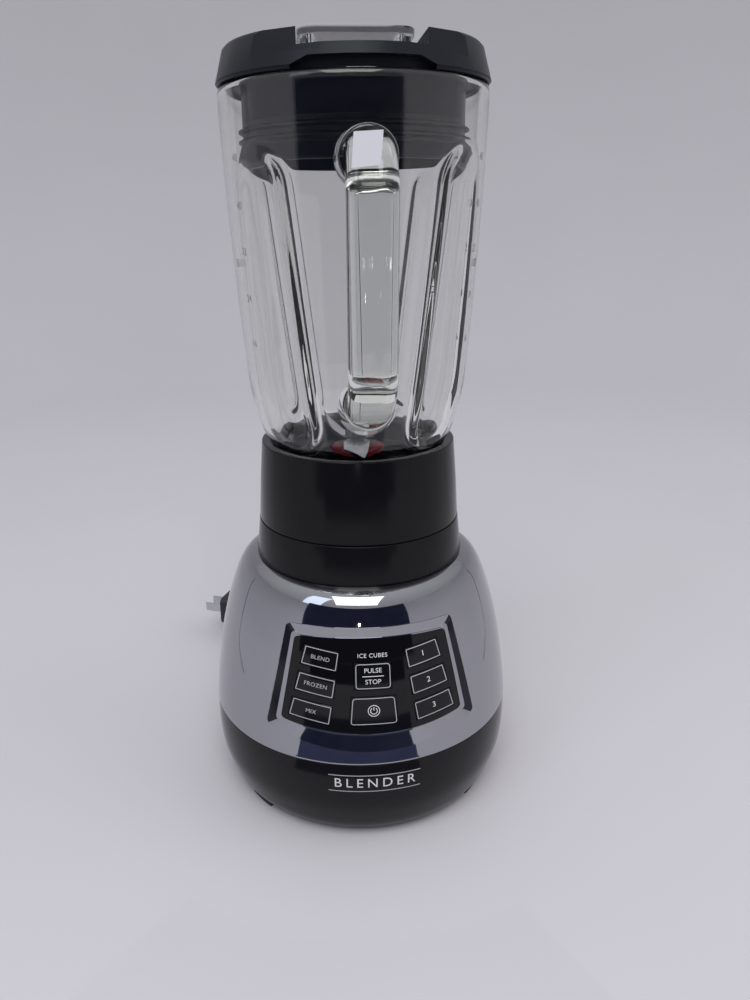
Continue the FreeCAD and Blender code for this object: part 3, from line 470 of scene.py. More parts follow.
def tinted(material, colour, density):
    """Let thick stretches of a clear material take on a tint."""
    nodes, links = material.node_tree.nodes, material.node_tree.links
    volume = nodes.new("ShaderNodeVolumeAbsorption")
    volume.inputs["Color"].default_value = (*colour, 1)
    volume.inputs["Density"].default_value = density
    links.new(volume.outputs["Volume"], nodes["Material Output"].inputs["Volume"])
    return material


def clear(name, roughness, ior, shades=((0.965, 0.97, 0.965), (0.95, 0.957, 0.95))):
    """Clear, nearly colourless material."""
    return surface(name, shades, roughness, bump=0, cloud=40, Transmission_Weight=1.0, IOR=ior)


glass = tinted(clear("clear_glass", (0.0, 0.012), 1.5), (0.80, 0.86, 0.66), 8)
clear_plastic = tinted(clear("clear_plastic", (0.02, 0.06), 1.46), (0.86, 0.86, 0.92), 10)
chrome = surface("polished_chrome", ((0.365, 0.37, 0.395), (0.395, 0.40, 0.425)), (0.02, 0.07), scale=55,
                 bump=0.02, Metallic=1.0)
shell_gloss = surface("dark_shell", ((0.007, 0.0065, 0.008), (0.010, 0.009, 0.011)), (0.07, 0.13),
                      bump=0.01, Specular_IOR_Level=0.22)
collar_black = surface("black_plastic", ((0.006, 0.006, 0.007), (0.009, 0.008, 0.010)), (0.14, 0.22),
                       bump=0.02, Specular_IOR_Level=0.18)
panel_black = surface("panel_black", ((0.004, 0.004, 0.005), (0.006, 0.006, 0.007)), (0.04, 0.08), bump=0,
                      Specular_IOR_Level=0.32)
key_black = surface("key_black", ((0.005, 0.005, 0.006), (0.008, 0.008, 0.009)), (0.06, 0.11), bump=0,
                    Specular_IOR_Level=0.32)
# dark, non-metallic finish in place of chrome on the bezel's two side slopes: a painted dark reflection of
# the room in front
painted_dark_reflection = surface("painted_dark_reflection", ((0.008, 0.008, 0.012), (0.016, 0.016, 0.022)), (0.10, 0.22), bump=0.01,
                      Specular_IOR_Level=0.3)
lid_slate = surface("lid_slate", ((0.012, 0.0135, 0.019), (0.016, 0.018, 0.024)), (0.30, 0.42), bump=0.05,
                    Specular_IOR_Level=0.16)
seal_black = surface("seal_black", ((0.010, 0.010, 0.012), (0.016, 0.016, 0.018)), (0.35, 0.5), bump=0.05)
silver_ink = surface("silver_ink", ((0.42, 0.42, 0.45), (0.56, 0.56, 0.60)), (0.35, 0.5), bump=0, cloud=300)
white_ink = surface("white_ink", ((0.72, 0.72, 0.76), (0.85, 0.85, 0.88)), (0.4, 0.6), bump=0, cloud=300)
grey_ink = surface("grey_ink", ((0.20, 0.20, 0.21), (0.32, 0.32, 0.33)), (0.4, 0.6), bump=0, cloud=300)
red_silicone = surface("red_silicone", ((0.42, 0.012, 0.018), (0.55, 0.02, 0.03)), (0.3, 0.45), bump=0.04)
blade_steel = surface("blade_steel", ((0.55, 0.55, 0.57), (0.66, 0.66, 0.68)), (0.16, 0.32), bump=0.03,
                      Metallic=1.0)
cord_black = surface("cord_pvc", ((0.012, 0.012, 0.013), (0.02, 0.02, 0.021)), (0.4, 0.55), bump=0.06)
label_white = surface("label_paper", ((0.74, 0.74, 0.80), (0.82, 0.82, 0.88)), (0.55, 0.7), bump=0.05)


def pastel(name, colour, roughness, **sockets):
    """A plainer finish, for a part that is inside the object or hardly shows."""
    lighter = tuple(min(1, c * 1.25 + 0.01) for c in colour)
    return surface(name, (colour, lighter), (roughness, roughness + 0.12), bump=0.05, **sockets)


steel = pastel("zinc_steel", (0.50, 0.51, 0.53), 0.3, Metallic=1.0)
copper = pastel("copper_wire", (0.62, 0.26, 0.12), 0.3, Metallic=1.0)
brass = pastel("brass_parts", (0.62, 0.47, 0.20), 0.3, Metallic=1.0)
cast = pastel("die_cast", (0.42, 0.43, 0.45), 0.4, Metallic=1.0)
iron = pastel("lamination_steel", (0.24, 0.24, 0.26), 0.45, Metallic=1.0)
rubber = pastel("foot_rubber", (0.015, 0.015, 0.016), 0.6)
moulded = pastel("cover_plastic", (0.018, 0.018, 0.02), 0.4)
carbon = pastel("carbon", (0.03, 0.03, 0.032), 0.6)
nylon = pastel("fan_plastic", (0.05, 0.05, 0.055), 0.4)
board_green = pastel("circuit_board", (0.02, 0.13, 0.05), 0.4)

NODE_FINISH = {
    "bottom_cover": moulded, "feet": rubber, "cover_screws": steel, "tactile_switches": moulded,
    "control_board": board_green, "lower_bracket": cast, "upper_bracket": cast, "lower_bearing": steel,
    "upper_bearing": steel, "rubber_mounts": rubber, "stator_core": iron, "field_coils": copper,
    "brush_holders": brass, "carbon_brushes": carbon, "motor_screws": steel, "motor_shaft": steel,
    "armature_core": iron, "armature_winding": copper, "commutator": copper, "cooling_fan": nylon,
    "drive_coupling": nylon, "blade_holder": collar_black, "blade_bush": brass, "jar_gasket": seal_black,
    "hub_seal": red_silicone, "blade_shaft": blade_steel, "blade_coupling": nylon,
    "lower_blades": blade_steel, "upper_blades": blade_steel, "blade_nut": blade_steel,
    "lid_seal": seal_black, "lid_cap": clear_plastic, "power_plug": cord_black, "plug_blades": steel,
    "strain_relief": cord_black,
}


# ---- base -------------------------------------------------------------------------------------------
def base_shells():
    """Dark lower shell, polished dome with its opening behind the bezel, and the ring under the jar."""
    skin = smooth(LOWER_OUTLINE)
    inner = offset(skin, -SHELL_WALL)
    shell = lathe("base_shell", skin[:-1] + LOWER_RIM + inner[::-1][1:-1] + LOWER_FOOT, shell_gloss)
    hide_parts("lower_shell")

    inner = offset(dome_skin, -SHELL_WALL)
    section = dome_skin[1:-1] + DOME_TOP_EDGE + inner[::-1][1:-1] + DOME_FOOT_EDGE
    dome = lathe("dome_shell", section, chrome, around=384)
    boolean(dome, prism("opening", between_outlines(UNDER_BEZEL), -CUT, CUT), "DIFFERENCE")
    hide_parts("dome")

    collar = lathe("neck_collar", eased(NECK_SECTION, 0.5), collar_black)
    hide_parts("neck_ring")
    return [shell, dome, collar]


def panel_bezel():
    """Chrome frame: a thin lip round the panel and faces that slope in to it, with a painted dark reflection
    down the two sides.
    """
    inner = panel_outline(WINDOW, WINDOW_CORNER)
    outer = panel_outline(BEZEL, BEZEL_CORNER)
    n = len(inner)
    side = n // 4
    on_side = [(k % (2 * side)) > side - 5 for k in range(n)]
    lip = [BEZEL_LIP[0] if at_side else BEZEL_LIP[1] for at_side in on_side]
    verts = []
    for (start, lip_share), lift in BEZEL_ROWS:
        for a, b, width in zip(inner, outer, lip):
            verts.append(on_dome(*a.lerp(b, start + lip_share * width), lift))
    bezel = piece("panel_bezel", verts, ring_faces(len(BEZEL_ROWS), n), chrome, crease=14)
    # the sloping faces down the two sides take this second slot, a painted dark reflection instead of chrome
    bezel.data.materials.append(painted_dark_reflection)
    for face in bezel.data.polygons:
        row, column = divmod(min(face.vertices), n)
        if row == SLOPE_ROW and on_side[column] and on_side[(column + 1) % n]:
            face.material_index = 1
    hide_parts("panel_frame")
    return bezel


def curved_slab(name, lift, thickness, material):
    """Slab that follows the dome's skin behind the whole window, on a grid of 1 mm."""
    us = np.linspace(-56, 56, 113)
    vs = np.linspace(-38, 33, 72)
    verts = [on_dome(u, v, w) for w in (lift, lift - thickness) for v in vs for u in us]
    nu, nv = len(us), len(vs)
    faces = sheet_faces(nv, nu) + sheet_faces(nv, nu, nu * nv)
    rim = [j for j in range(nu)] + [i * nu + nu - 1 for i in range(1, nv)]
    rim += [(nv - 1) * nu + j for j in range(nu - 2, -1, -1)] + [i * nu for i in range(nv - 2, 0, -1)]
    faces += [(a, b, b + nu * nv, a + nu * nv) for a, b in zip(rim, rim[1:] + rim[:1])]
    return piece(name, verts, faces, material)


def fascia(keys):
    """Black panel with an opening for every key."""
    panel = curved_slab("fascia", PANEL_SINK, PANEL_THICK, panel_black)
    boolean(panel, prism("window", between_outlines(-0.01, 6), -CUT, CUT), "INTERSECT")
    for corners in keys.values():
        boolean(panel, prism("opening", grown(corners, KEY_GAP), -CUT, CUT), "DIFFERENCE")
    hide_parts("control_panel")
    return panel


def key_cap(name, corners):
    """Key that follows the dome, as a thick cap with a bevelled front edge."""
    n = KEY_STEPS
    verts = []
    for inset, lift in ((0, -KEY_DEPTH), (0, KEY_SINK - KEY_EDGE), (KEY_EDGE, KEY_SINK)):
        shrunk = [Vector(p) for p in grown(corners, -inset)]
        for p, q in zip(shrunk, shrunk[1:] + shrunk[:1]):
            verts += [on_dome(*p.lerp(q, k / n), lift) for k in range(n)]
    faces = ring_faces(3, 4 * n, closed=False) + [tuple(range(4 * n))]
    faces += sheet_faces(n + 1, n + 1, len(verts))
    a, b, c, d = shrunk
    for i in range(n + 1):
        for j in range(n + 1):
            point = a.lerp(b, i / n).lerp(d.lerp(c, i / n), j / n)
            verts.append(on_dome(*point, KEY_SINK))
    cap = piece(f"{name}_cap", verts, faces, key_black)
    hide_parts(name)
    return cap


# ---- lettering --------------------------------------------------------------------------------------
def lettering(name, text, size, place, material, spacing=1.0, turn=0.0):
    """Thin raised letters; place(x, y, height) maps a point of the flat text to the object."""
    curve = bpy.data.curves.new(name, "FONT")
    curve.body = text
    curve.size = size
    curve.align_x = "CENTER"
    curve.align_y = "CENTER"
    curve.space_character = spacing
    curve.extrude = 0.03
    curve.resolution_u = 4
    flat = bpy.data.objects.new(name, curve)
    mesh = bpy.data.meshes.new_from_object(flat)
    bpy.data.objects.remove(flat)
    for vertex in mesh.vertices:
        x, y, z = vertex.co
        vertex.co = place(x * cos(turn) - y * sin(turn), x * sin(turn) + y * cos(turn), z) * MM
    obj = bpy.data.objects.new(name, mesh)
    bpy.context.scene.collection.objects.link(obj)
    mesh.materials.clear()
    mesh.materials.append(material)
    finish_mesh(obj)
    return obj


def on_key(u0, v0, sink=KEY_SINK):
    """Placing function for lettering that lies on the dome's skin around (u0, v0)."""
    def place(x, y, z):
        point = on_dome(u0 + x, v0 + y, sink)
        return point + Vector((0, -1, 0.2)) * (z + 0.02)
    return place


def ribbon(name, loop, width, place, material, closed=True):
    """Thin printed line along a flat loop of points."""
    n = len(loop)
    verts = []
    for height in (PRINT_LOW, PRINT_HIGH):
        for k, point in enumerate(loop):
            before = loop[(k - 1) % n] if closed or k else point
            after = loop[(k + 1) % n] if closed or k < n - 1 else point
            run = (Vector(after) - Vector(before)).normalized()
            across = Vector((-run.y, run.x)) * width / 2
            for side in (-1, 1):
                p = Vector(point) + across * side
                verts.append(place(p.x, p.y, height))
    faces = []
    for k in range(n if closed else n - 1):
        a, b = 2 * k, 2 * ((k + 1) % n)
        c, d = a + 2 * n, b + 2 * n
        faces += [(a, b, b + 1, a + 1), (c, c + 1, d + 1, d), (a, c, d, b), (a + 1, b + 1, d + 1, c + 1)]
    if not closed:
        last = 2 * n - 2
        faces += [(0, 1, 2 * n + 1, 2 * n), (last, last + 2 * n, last + 2 * n + 1, last + 1)]
    return piece(name, verts, faces, material)


def key_border(name, corners, radius):
    """Printed outline just inside a key's edge."""
    inset = [Vector(p) for p in grown(corners, -BORDER_INSET)]
    dense = []
    for p, corner, q in zip(inset[-1:] + inset[:-1], inset, inset[1:] + inset[:1]):
        a = corner + (p - corner).normalized() * radius
        c = corner + (q - corner).normalized() * radius
        for s in (0, 0.2, 0.4, 0.6, 0.8, 1):
            dense.append(a * (1 - s) ** 2 + corner * 2 * s * (1 - s) + c * s * s)
        end = q + (corner - q).normalized() * radius
        dense += [c.lerp(end, k / 8) for k in range(1, 8)]
    return ribbon(f"{name}_border", [tuple(p) for p in dense], BORDER_WIDTH, on_key(0, 0), silver_ink)


def power_mark(u, v):
    """Power sign: a ring, a broken ring inside it and a short bar."""
    def arc(radius, first, last, steps=28):
        angles = [radians(first + (last - first) * k / steps) for k in range(steps + 1)]
        return [(radius * cos(a), radius * sin(a)) for a in angles]

    place = on_key(u, v)
    return [ribbon("power_ring", arc(3.0, 0, 350, 34), 0.4, place, white_ink),
            ribbon("power_arc", arc(1.75, 125, 415), 0.42, place, white_ink, closed=False),
            ribbon("power_bar", [(0, 0.2), (0, 1.2), (0, 2.1)], 0.42, place, white_ink, closed=False)]


def panel_lettering(keys):
    """Borders, generic words, digits and signs on the keys, and a word above the middle ones."""
    words = {"key_blend": "BLEND", "key_frozen": "FROZEN", "key_mix": "MIX",
             "key_speed_1": "1", "key_speed_2": "2", "key_speed_3": "3"}
    for name, corners in keys.items():
        u, v = middle(corners)
        marks = [key_border(name, corners, 1.6 if name in ("key_pulse", "key_power") else 0.3)]
        if name in words:
            turn = KEY_SLOPE if u > 0 else -KEY_SLOPE
            size, ink = (WORD_SIZE, silver_ink) if u < 0 else (DIGIT_SIZE, white_ink)
            marks.append(lettering(f"{name}_word", words[name], size, on_key(u, v), ink, 1.05, turn))
        if name == "key_pulse":
            marks.append(lettering("pulse_word", "PULSE", MIDDLE_WORD_SIZE, on_key(u, v + 3.0), white_ink))
            marks.append(lettering("stop_word", "STOP", MIDDLE_WORD_SIZE, on_key(u, v - 3.0), white_ink))
            rule = [(x, 0) for x in (-5.6, -2.8, 0, 2.8, 5.6)]
            marks.append(ribbon("pulse_rule", rule, 0.4, on_key(u, v), white_ink, closed=False))
        if name == "key_power":
            marks += power_mark(u, v + 0.3)
        for mark in marks:
            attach(mark, name)
    ice = lettering("ice_word", "ICE CUBES", WORD_SIZE, on_key(0, 17.6, PANEL_SINK), white_ink, 1.1)
    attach(ice, "base")


def on_shell(z0):
    """Placing function for lettering round the lower shell at height z0."""
    outline = np.array(smooth(LOWER_OUTLINE)).T

    def place(x, y, z):
        radius = np.interp(z0 + y, outline[1], outline[0]) + z + 0.02
        angle = x / BADGE_R
        return Vector((radius * sin(angle), -radius * cos(angle), z0 + y))
    return place


def badge():
    """Plain word on the front of the lower shell, between two thin lines."""
    marks = [lettering("shell_word", "BLENDER", BADGE_SIZE, on_shell(BADGE_Z), white_ink, 1.45)]
    line = [(x, 0) for x in np.linspace(-BADGE_HALF, BADGE_HALF, 25)]
    for name, z0 in BADGE_LINES.items():
        marks.append(ribbon(name, line, 0.45, on_shell(z0), silver_ink, closed=False))
    for mark in marks:
        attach(mark, "base")


# ---- jar --------------------------------------------------------------------------------------------
def flute_distance(x, y, z, azimuths):
    """Distance from points to the tapered round-ended bar that presses one flute."""
    ends = []
    for (radius, height), azimuth in zip((FLUTE_TOP, FLUTE_BOTTOM), azimuths):
        ends.append(np.array((radius * sin(radians(azimuth)), -radius * cos(radians(azimuth)), height)))
    along = ends[1] - ends[0]
    from_top = np.stack([x, y, z], axis=-1) - ends[0]
    share = np.clip(from_top @ along / (along @ along), 0, 1)
    nearest = from_top - share[..., None] * along
    return np.linalg.norm(nearest, axis=-1) - (FLUTE_R[0] + (FLUTE_R[1] - FLUTE_R[0]) * share)


def soft_max(a, b, blend):
    """The larger of two values, rounded where they are within blend of each other."""
    overlap = np.clip(blend - np.abs(a - b), 0, None) / blend
    return np.maximum(a, b) + overlap ** 2 * blend / 4


def fluted(outline, grow, blend):
    """Grid of points round the outline, pressed in by the four flutes."""
    radii, heights = np.array(outline).T
    angles = 2 * pi * np.arange(FLUTED_AROUND) / FLUTED_AROUND
    turn, z = np.meshgrid(angles, heights)
    wall = np.repeat(radii[:, None], FLUTED_AROUND, axis=1)
    low, high = np.full_like(wall, 20.0), wall + 1.0
    for _ in range(30):
        r = (low + high) / 2
        x, y = r * np.sin(turn), -r * np.cos(turn)
        value = r - wall
        for side in (1, -1):
            for base in (0, 180):
                pressed = flute_distance(x, y, z, [base + side * a for a in FLUTE_AZ]) - grow
                value = soft_max(value, -pressed, blend)
        low, high = np.where(value < 0, r, low), np.where(value < 0, high, r)
    return [(rr * sin(t), -rr * cos(t), zz) for rr, t, zz in zip(r.ravel(), turn.ravel(), z.ravel())]


def fluted_solid(name, outline, grow, blend, material=None):
    """Solid with the fluted outline, closed at both ends."""
    verts = fluted(outline, grow, blend)
    faces = ring_faces(len(outline), FLUTED_AROUND, closed=False) + end_faces(len(verts), FLUTED_AROUND)
    return piece(name, verts, faces, material)


def handle_section():
    """Rounded section of the handle as (x, normal) points."""
    w, d = HANDLE_SIZE[0] / 2, HANDLE_SIZE[1] / 2
    return eased([(-w, -d), (w, -d), (w, d), (-w, d)], HANDLE_ROUNDING, 8)


def boss(name, start, end, radius, end_radius, around=72):
    """Round boss from start to end with a softened outer edge."""
    a, b = Vector(start), Vector(end)
    along = (b - a).normalized()
    side = Vector((1, 0, 0))
    up = along.cross(side)
    length = (b - a).length
    rings = [(radius, 0.0), (radius + (end_radius - radius) * 0.5, length * 0.5)]
    for k in range(6):
        s = k / 5 * pi / 2
        rings.append((end_radius - BOSS_EDGE + BOSS_EDGE * cos(s), length - BOSS_EDGE + BOSS_EDGE * sin(s)))
    turns = [2 * pi * k / around for k in range(around)]
    verts = [a + along * h + (side * cos(t) + up * sin(t)) * r for r, h in rings for t in turns]
    faces = ring_faces(len(rings), around, closed=False) + end_faces(len(verts), around)
    return piece(name, verts, faces, glass)


def jar_glass():
    """Fluted glass jar with its handle, one solid open at both ends."""
    outer = smooth(GLASS_OUTLINE, 10)
    neck = [(GLASS_NECK_R, GLASS_FOOT_Z), (GLASS_NECK_R, 200)]
    jar = fluted_solid("jar_glass", neck + outer + GLASS_RIM, 0, FLUTE_BLEND[0], glass)
    boolean(jar, sweep("handle", rounded_path(HANDLE_PATH, HANDLE_BENDS), handle_section(), glass), "UNION")
    for name, sizes in BOSSES.items():
        boolean(jar, boss(name, *sizes), "UNION")
    inner = [p for p in offset(outer, -GLASS_WALL) if 211 < p[1] < 378]
    room = [(GLASS_NECK_IN_R, 190), (GLASS_NECK_IN_R, 200)]
    room += smooth([(GLASS_NECK_IN_R, 209), inner[0]] + inner[10::10] + [(62.6, 383)], 10)
    room += [(63.0, 384.6), (63.6, GLASS_TOP_Z), (63.6, 390)]
    boolean(jar, fluted_solid("room", room, GLASS_WALL, FLUTE_BLEND[1]), "DIFFERENCE")
    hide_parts("glass_jar")
    return jar


def jar_marks():
    """Faint graduations on both sides of the jar, and the small blank label on the handle."""
    outline = np.array(smooth(GLASS_OUTLINE)).T
    made = []
    for side, azimuth in (("left", -MARK_AZ), ("right", MARK_AZ)):
        for value, z0 in MARKS:
            def place(x, y, z):
                radius = np.interp(z0 + y, outline[1], outline[0]) + z + 0.02
                angle = radians(azimuth) + x / MARK_R
                return Vector((radius * sin(angle), -radius * cos(angle), z0 + y))
            made.append(lettering(f"mark_{side}_{value}", str(value), MARK_SIZE, place, grey_ink))
    x0, y0, z0 = LABEL_PLACE
    verts = [(x0 + x, y0 - h, z0 + z) for h in (0, LABEL_THICK) for x, z in LABEL_CORNERS]
    sides = [(k, (k + 1) % 4, 4 + (k + 1) % 4, 4 + k) for k in range(4)]
    made.append(piece("blank_label", verts, [(0, 1, 2, 3), (4, 5, 6, 7)] + sides, label_white))
    return made


def jar_collar():
    """Dark jar base that screws onto the glass."""
    collar = lathe("jar_collar", eased(JAR_BASE_SECTION, 0.9), collar_black)
    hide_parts("jar_base")
    return collar


# ---- lid --------------------------------------------------------------------------------------------
def soften_edges(obj, width):
    """Bevel the edges that turn by more than 30 degrees."""
    step = obj.modifiers.new("edges", "BEVEL")
    step.width = width * MM
    step.segments = 2
    step.angle_limit = radians(30)
    step.harden_normals = True


def lid_body():
    """Lid with its plug, a channel for the cap, a front tab with a gap under it, and stepped wings."""
    lid = lathe("lid_body", LID_OUTLINE, lid_slate)
    half, floor = CAP_CHANNEL

    def upright(x, y, z):
        return (x, y, z)

    def square(name, reach, corner, low, high):
        sides = eased([(-reach, -reach), (reach, -reach), (reach, reach), (-reach, reach)], corner, 8)
        return prism(name, sides, low, high, upright)

    boolean(lid, square("channel", half, CHANNEL_CORNER, floor, ABOVE_LID), "DIFFERENCE")
    front = [(-half, -80), (half, -80), (half, -5), (-half, -5)]
    boolean(lid, prism("front", front, floor, ABOVE_LID, upright), "DIFFERENCE")
    boolean(lid, square("opening", CAP_OPENING, OPENING_CORNER, 380, 400), "DIFFERENCE")
    gap = lathe("gap", [(60.5, 383), (80, 383), (80, 402.5), (60.5, 402.5)], None)
    boolean(gap, prism("wedge", UNDERCUT, -80, -20, lambda x, z, y: (x, y, z)), "INTERSECT")
    boolean(lid, gap, "DIFFERENCE")
    (x0, y0), (x1, y1) = WING_LINE
    out = Vector((y1 - y0, x0 - x1)).normalized()
    before_wing = [(x0, y0), (x1, y1), (x1 + 20, y1 - 40), (x0, y0 - 20)]
    for side in (1, -1):
        def leaning(x, y, z):
            back = WING_SLOPE * (z - WING_LEDGE)
            return (side * (x - out.x * back), y - out.y * back, z)
        boolean(lid, prism("step", before_wing, WING_LEDGE, ABOVE_LID + 5, leaning), "DIFFERENCE")
    soften_edges(lid, 0.4)
    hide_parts("lid")
    return lid


# ---- power cord -------------------------------------------------------------------------------------
def coil_points():
    """Clockwise turns: outer then inner on the floor, inner then outer above, and a last short rise."""
    low, high, over = CORD_R + 0.1, 3 * CORD_R + 0.1, 5 * CORD_R + 0.1
    stages = [(0, COIL_OUTER, low), (290, COIL_OUTER, low), (355, COIL_INNER, low), (600, COIL_INNER, low),
              (665, COIL_INNER, high), (910, COIL_INNER, high), (970, COIL_OUTER, high),
              (1260, COIL_OUTER, high), (1315, COIL_OUTER, over), (1350, COIL_OUTER, over)]
    angles, radii, heights = np.array(stages).T
    made = []
    for angle in range(45, 1351, 360 // COIL_STEPS):
        r, z = np.interp(angle, angles, radii), np.interp(angle, angles, heights)
        turn = radians(270 - angle)
        made.append((COIL_CENTRE[0] + r * cos(turn), COIL_CENTRE[1] + r * sin(turn), z))
    return made


def power_cord():
    """Mains lead as one curve: from the base, round the coil, to the plug."""
    curve = bpy.data.curves.new("mains_cord", "CURVE")
    curve.dimensions = "3D"
    curve.bevel_depth = CORD_R * MM
    curve.bevel_resolution = 6
    curve.resolution_u = 6
    curve.use_fill_caps = True
    spline = curve.splines.new("NURBS")
    route = CORD_ROUTE + coil_points() + TAIL_ROUTE
    spline.points.add(len(route) - 1)
    for point, place in zip(spline.points, route):
        point.co = (*(Vector(place) * MM), 1)
    spline.order_u = 3
    spline.use_endpoint_u = True
    curve.materials.append(cord_black)
    cord = bpy.data.objects.new("mains_cord", curve)
    bpy.context.scene.collection.objects.link(cord)
    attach(cord, "base")
    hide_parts("power_cord", "power_cord_coil", "power_cord_tail")
    tuple(Vector(CORD_ROUTE[0]) * MM)


# ---- stage ------------------------------------------------------------------------------------------
def camera():
    """Camera in front of the panel and a little to its left, looking down."""
    data = bpy.data.cameras.new("camera")
    data.lens = CAMERA_LENS
    data.shift_x = CAMERA_SHIFT
    data.clip_start, data.clip_end = 0.01, 20
    cam = bpy.data.objects.new("camera", data)
    bpy.context.scene.collection.objects.link(cam)
    turn = radians(CAMERA_TURN)
    place = Matrix.Translation((-CAMERA_REACH * sin(turn), -CAMERA_REACH * cos(turn), CAMERA_HEIGHT))
    pitch = Matrix.Rotation(radians(90 - CAMERA_PITCH), 4, "X")
    roll = Matrix.Rotation(radians(CAMERA_ROLL), 4, "Z")
    cam.matrix_world = place @ Matrix.Rotation(-turn, 4, "Z") @ pitch @ roll
    bpy.context.scene.camera = cam


def softbox(name, place, size, power, colour=(1, 1, 1)):
    """Rectangular light that faces the object."""
    data = bpy.data.lights.new(name, "AREA")
    data.shape = "RECTANGLE"
    data.size, data.size_y = size
    data.energy = power
    data.color = colour
    light = bpy.data.objects.new(name, data)
    bpy.context.scene.collection.objects.link(light)
    light.location = place
    light.rotation_mode = "QUATERNION"
    light.rotation_quaternion = (Vector(place) - Vector((0, 0, 0.15))).to_track_quat("Z", "Y")
    return light


def world():
    """Pale room: one even tone where the camera looks past the object, a soft gradient for the light."""
    made = bpy.data.worlds.new("room")
    bpy.context.scene.world = made
    made.use_nodes = True
    nodes, links = made.node_tree.nodes, made.node_tree.links
    base = nodes["Background"]
    base.inputs["Color"].default_value = (0.50, 0.485, 0.52, 1)
    room = nodes.new("ShaderNodeBackground")
    ramp = nodes.new("ShaderNodeValToRGB")
    ramp.color_ramp.elements[0].position = 0.40
    ramp.color_ramp.elements[0].color = (0.34, 0.335, 0.355, 1)
    ramp.color_ramp.elements[1].position = 0.97
    ramp.color_ramp.elements[1].color = (0.66, 0.655, 0.69, 1)
    ramp.color_ramp.elements.new(0.74).color = (0.42, 0.415, 0.44, 1)
    coords = nodes.new("ShaderNodeTexCoord")
    split = nodes.new("ShaderNodeSeparateXYZ")
    lift = nodes.new("ShaderNodeMapRange")
    lift.inputs["From Min"].default_value = -1
    links.new(coords.outputs["Generated"], split.inputs["Vector"])
    links.new(split.outputs["Z"], lift.inputs["Value"])
    links.new(lift.outputs["Result"], ramp.inputs["Fac"])
    links.new(ramp.outputs["Color"], room.inputs["Color"])
    path = nodes.new("ShaderNodeLightPath")
    mix = nodes.new("ShaderNodeMixShader")
    links.new(path.outputs["Is Camera Ray"], mix.inputs["Fac"])
    links.new(room.outputs["Background"], mix.inputs[1])
    links.new(base.outputs["Background"], mix.inputs[2])
    links.new(mix.outputs["Shader"], nodes["World Output"].inputs["Surface"])


def only_seen_in(obj, seen_in):
    """Make a piece of the stage visible to the named kinds of ray only."""
    for kind in ("camera", "diffuse", "shadow", "transmission", "glossy"):
        setattr(obj, f"visible_{kind}", kind in seen_in)
    obj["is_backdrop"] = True


def card(name, azimuths, edges, material, seen_in):
    """Curved card around the axis, from one (radius, height) edge to the other."""
    first, last = azimuths
    turns = [radians(first + (last - first) * k / 24) for k in range(25)]
    verts = [(r * sin(t), -r * cos(t), z) for r, z in edges for t in turns]
    only_seen_in(piece(name, verts, sheet_faces(2, len(turns)), material), seen_in)


def seam(name, side, material):
    """Thin dark ribbon beside and behind the object that shows as a line in the polished dome."""
    edge = [(300, 20, 2), (398, 133, 2), (428, 165, 40), (432, 168, 140), (424, 168, 222), (380, 168, 258),
            (300, 168, 276), (156, 168, 290)]
    half = 3
    verts = [(side * x, y + across, z + across) for x, y, z in edge for across in (-half, half)]
    faces = [(2 * k, 2 * k + 1, 2 * k + 3, 2 * k + 2) for k in range(len(edge) - 1)]
    only_seen_in(piece(name, verts, faces, material), ("glossy",))


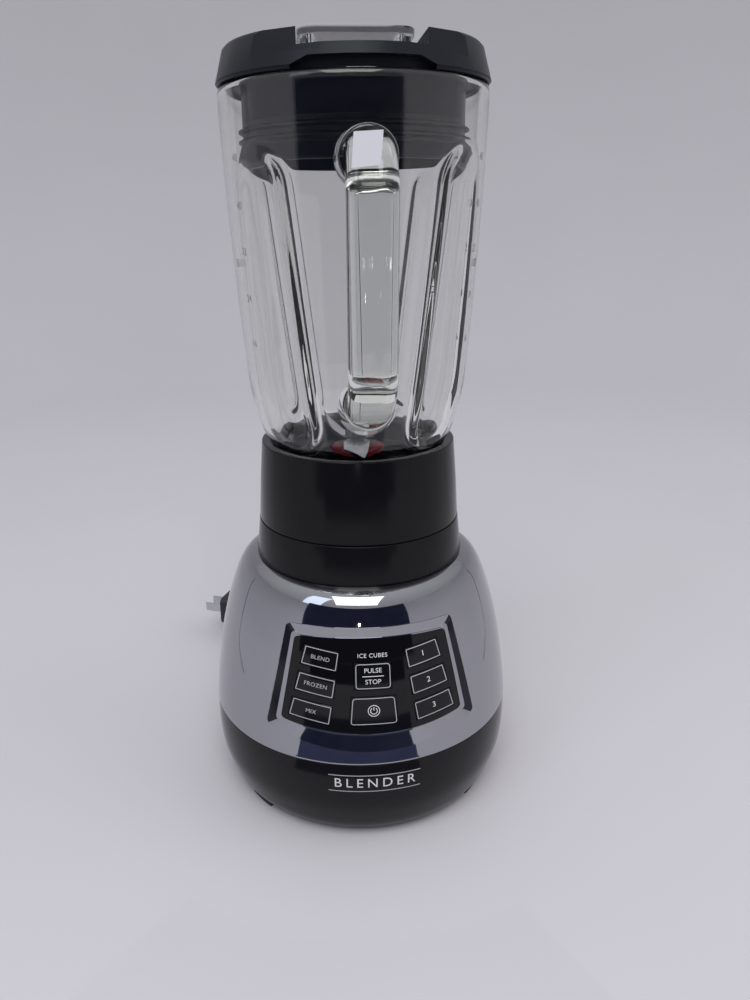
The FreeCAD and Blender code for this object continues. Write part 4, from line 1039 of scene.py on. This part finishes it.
def backdrop():
    """Pale floor that sweeps up into a wall far all round."""
    paint = surface("floor_paint", ((0.60, 0.585, 0.62), (0.635, 0.62, 0.655)), (0.5, 0.65), bump=0.02,
                    cloud=3)
    bend = 1200
    sweep_up = [(bend + bend * sin(radians(t)), bend - bend * cos(radians(t))) for t in range(0, 91, 6)]
    outline = [(20, 0), (600, 0)] + sweep_up + [(2 * bend, 1500)]
    verts = [(r * cos(radians(t)), r * sin(radians(t)), z) for r, z in outline for t in range(0, 360, 5)]
    floor = piece("floor", verts, ring_faces(len(outline), 72, closed=False) + [tuple(range(72))], paint)
    floor.visible_diffuse = False
    floor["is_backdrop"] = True


def stage():
    """Backdrop, dark cards and seams that the glass and the chrome show, and soft lights."""
    backdrop()
    navy = surface("navy_card", ((0.018, 0.024, 0.075), (0.05, 0.06, 0.13)), (0.8, 0.9), bump=0, cloud=9)
    dark = surface("dark_card", ((0.01, 0.01, 0.012), (0.02, 0.02, 0.022)), (0.8, 0.9), bump=0, cloud=9)
    card("front_screen", (-51, 35), ((600, 95), (600, 475)), navy, ("glossy", "transmission"))
    card("front_skirt", (-41, 27), ((600, 20), (600, 94)), navy, ("glossy",))
    card("front_mat", (-41, 27), ((150, 1), (330, 1)), navy, ("glossy",))
    card("high_card", (-70, 60), ((640, 480), (640, 1100)), dark, ("transmission",))
    card("left_card", (-122, -100), ((620, 1), (620, 700)), dark, ("transmission",))
    card("right_card", (100, 122), ((620, 1), (620, 700)), dark, ("transmission",))
    seam("left_seam", -1, dark)
    seam("right_seam", 1, dark)
    softbox("key_light", (-0.18, -1.35, 2.17), (1.45, 1.5), 29)
    softbox("window_light", (-1.46, -1.18, 1.85), (0.7, 1.2), 5, (0.72, 0.84, 1.0))
    fill = softbox("fill_light", (1.8, -0.6, 1.9), (1.6, 1.6), 9)
    fill.visible_glossy = False
    softbox("lamp", (-0.045, -0.51, 0.23), (0.012, 0.012), 0.02)
    world()
    bpy.context.scene.view_settings.view_transform = "Standard"


# ---- assembly ---------------------------------------------------------------------------------------
camera()
power_cord()
for node, finish in NODE_FINISH.items():
    data = frame["nodes"][node].data
    data.materials.clear()
    data.materials.append(finish)
soften_edges(frame["nodes"]["lid_cap"], 0.5)

for made in base_shells() + [panel_bezel()]:
    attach(made, "base")
keys = key_outlines()
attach(fascia(keys), "base")
for name, corners in keys.items():
    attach(key_cap(name, corners), name)
panel_lettering(keys)
badge()
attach(jar_collar(), "collar")
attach(lid_body(), "lid")
for made in [jar_glass()] + jar_marks():
    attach(made, "jar")
stage()

model_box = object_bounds()
[[list(corner) for corner in box] for box in (cad_box, model_box)]
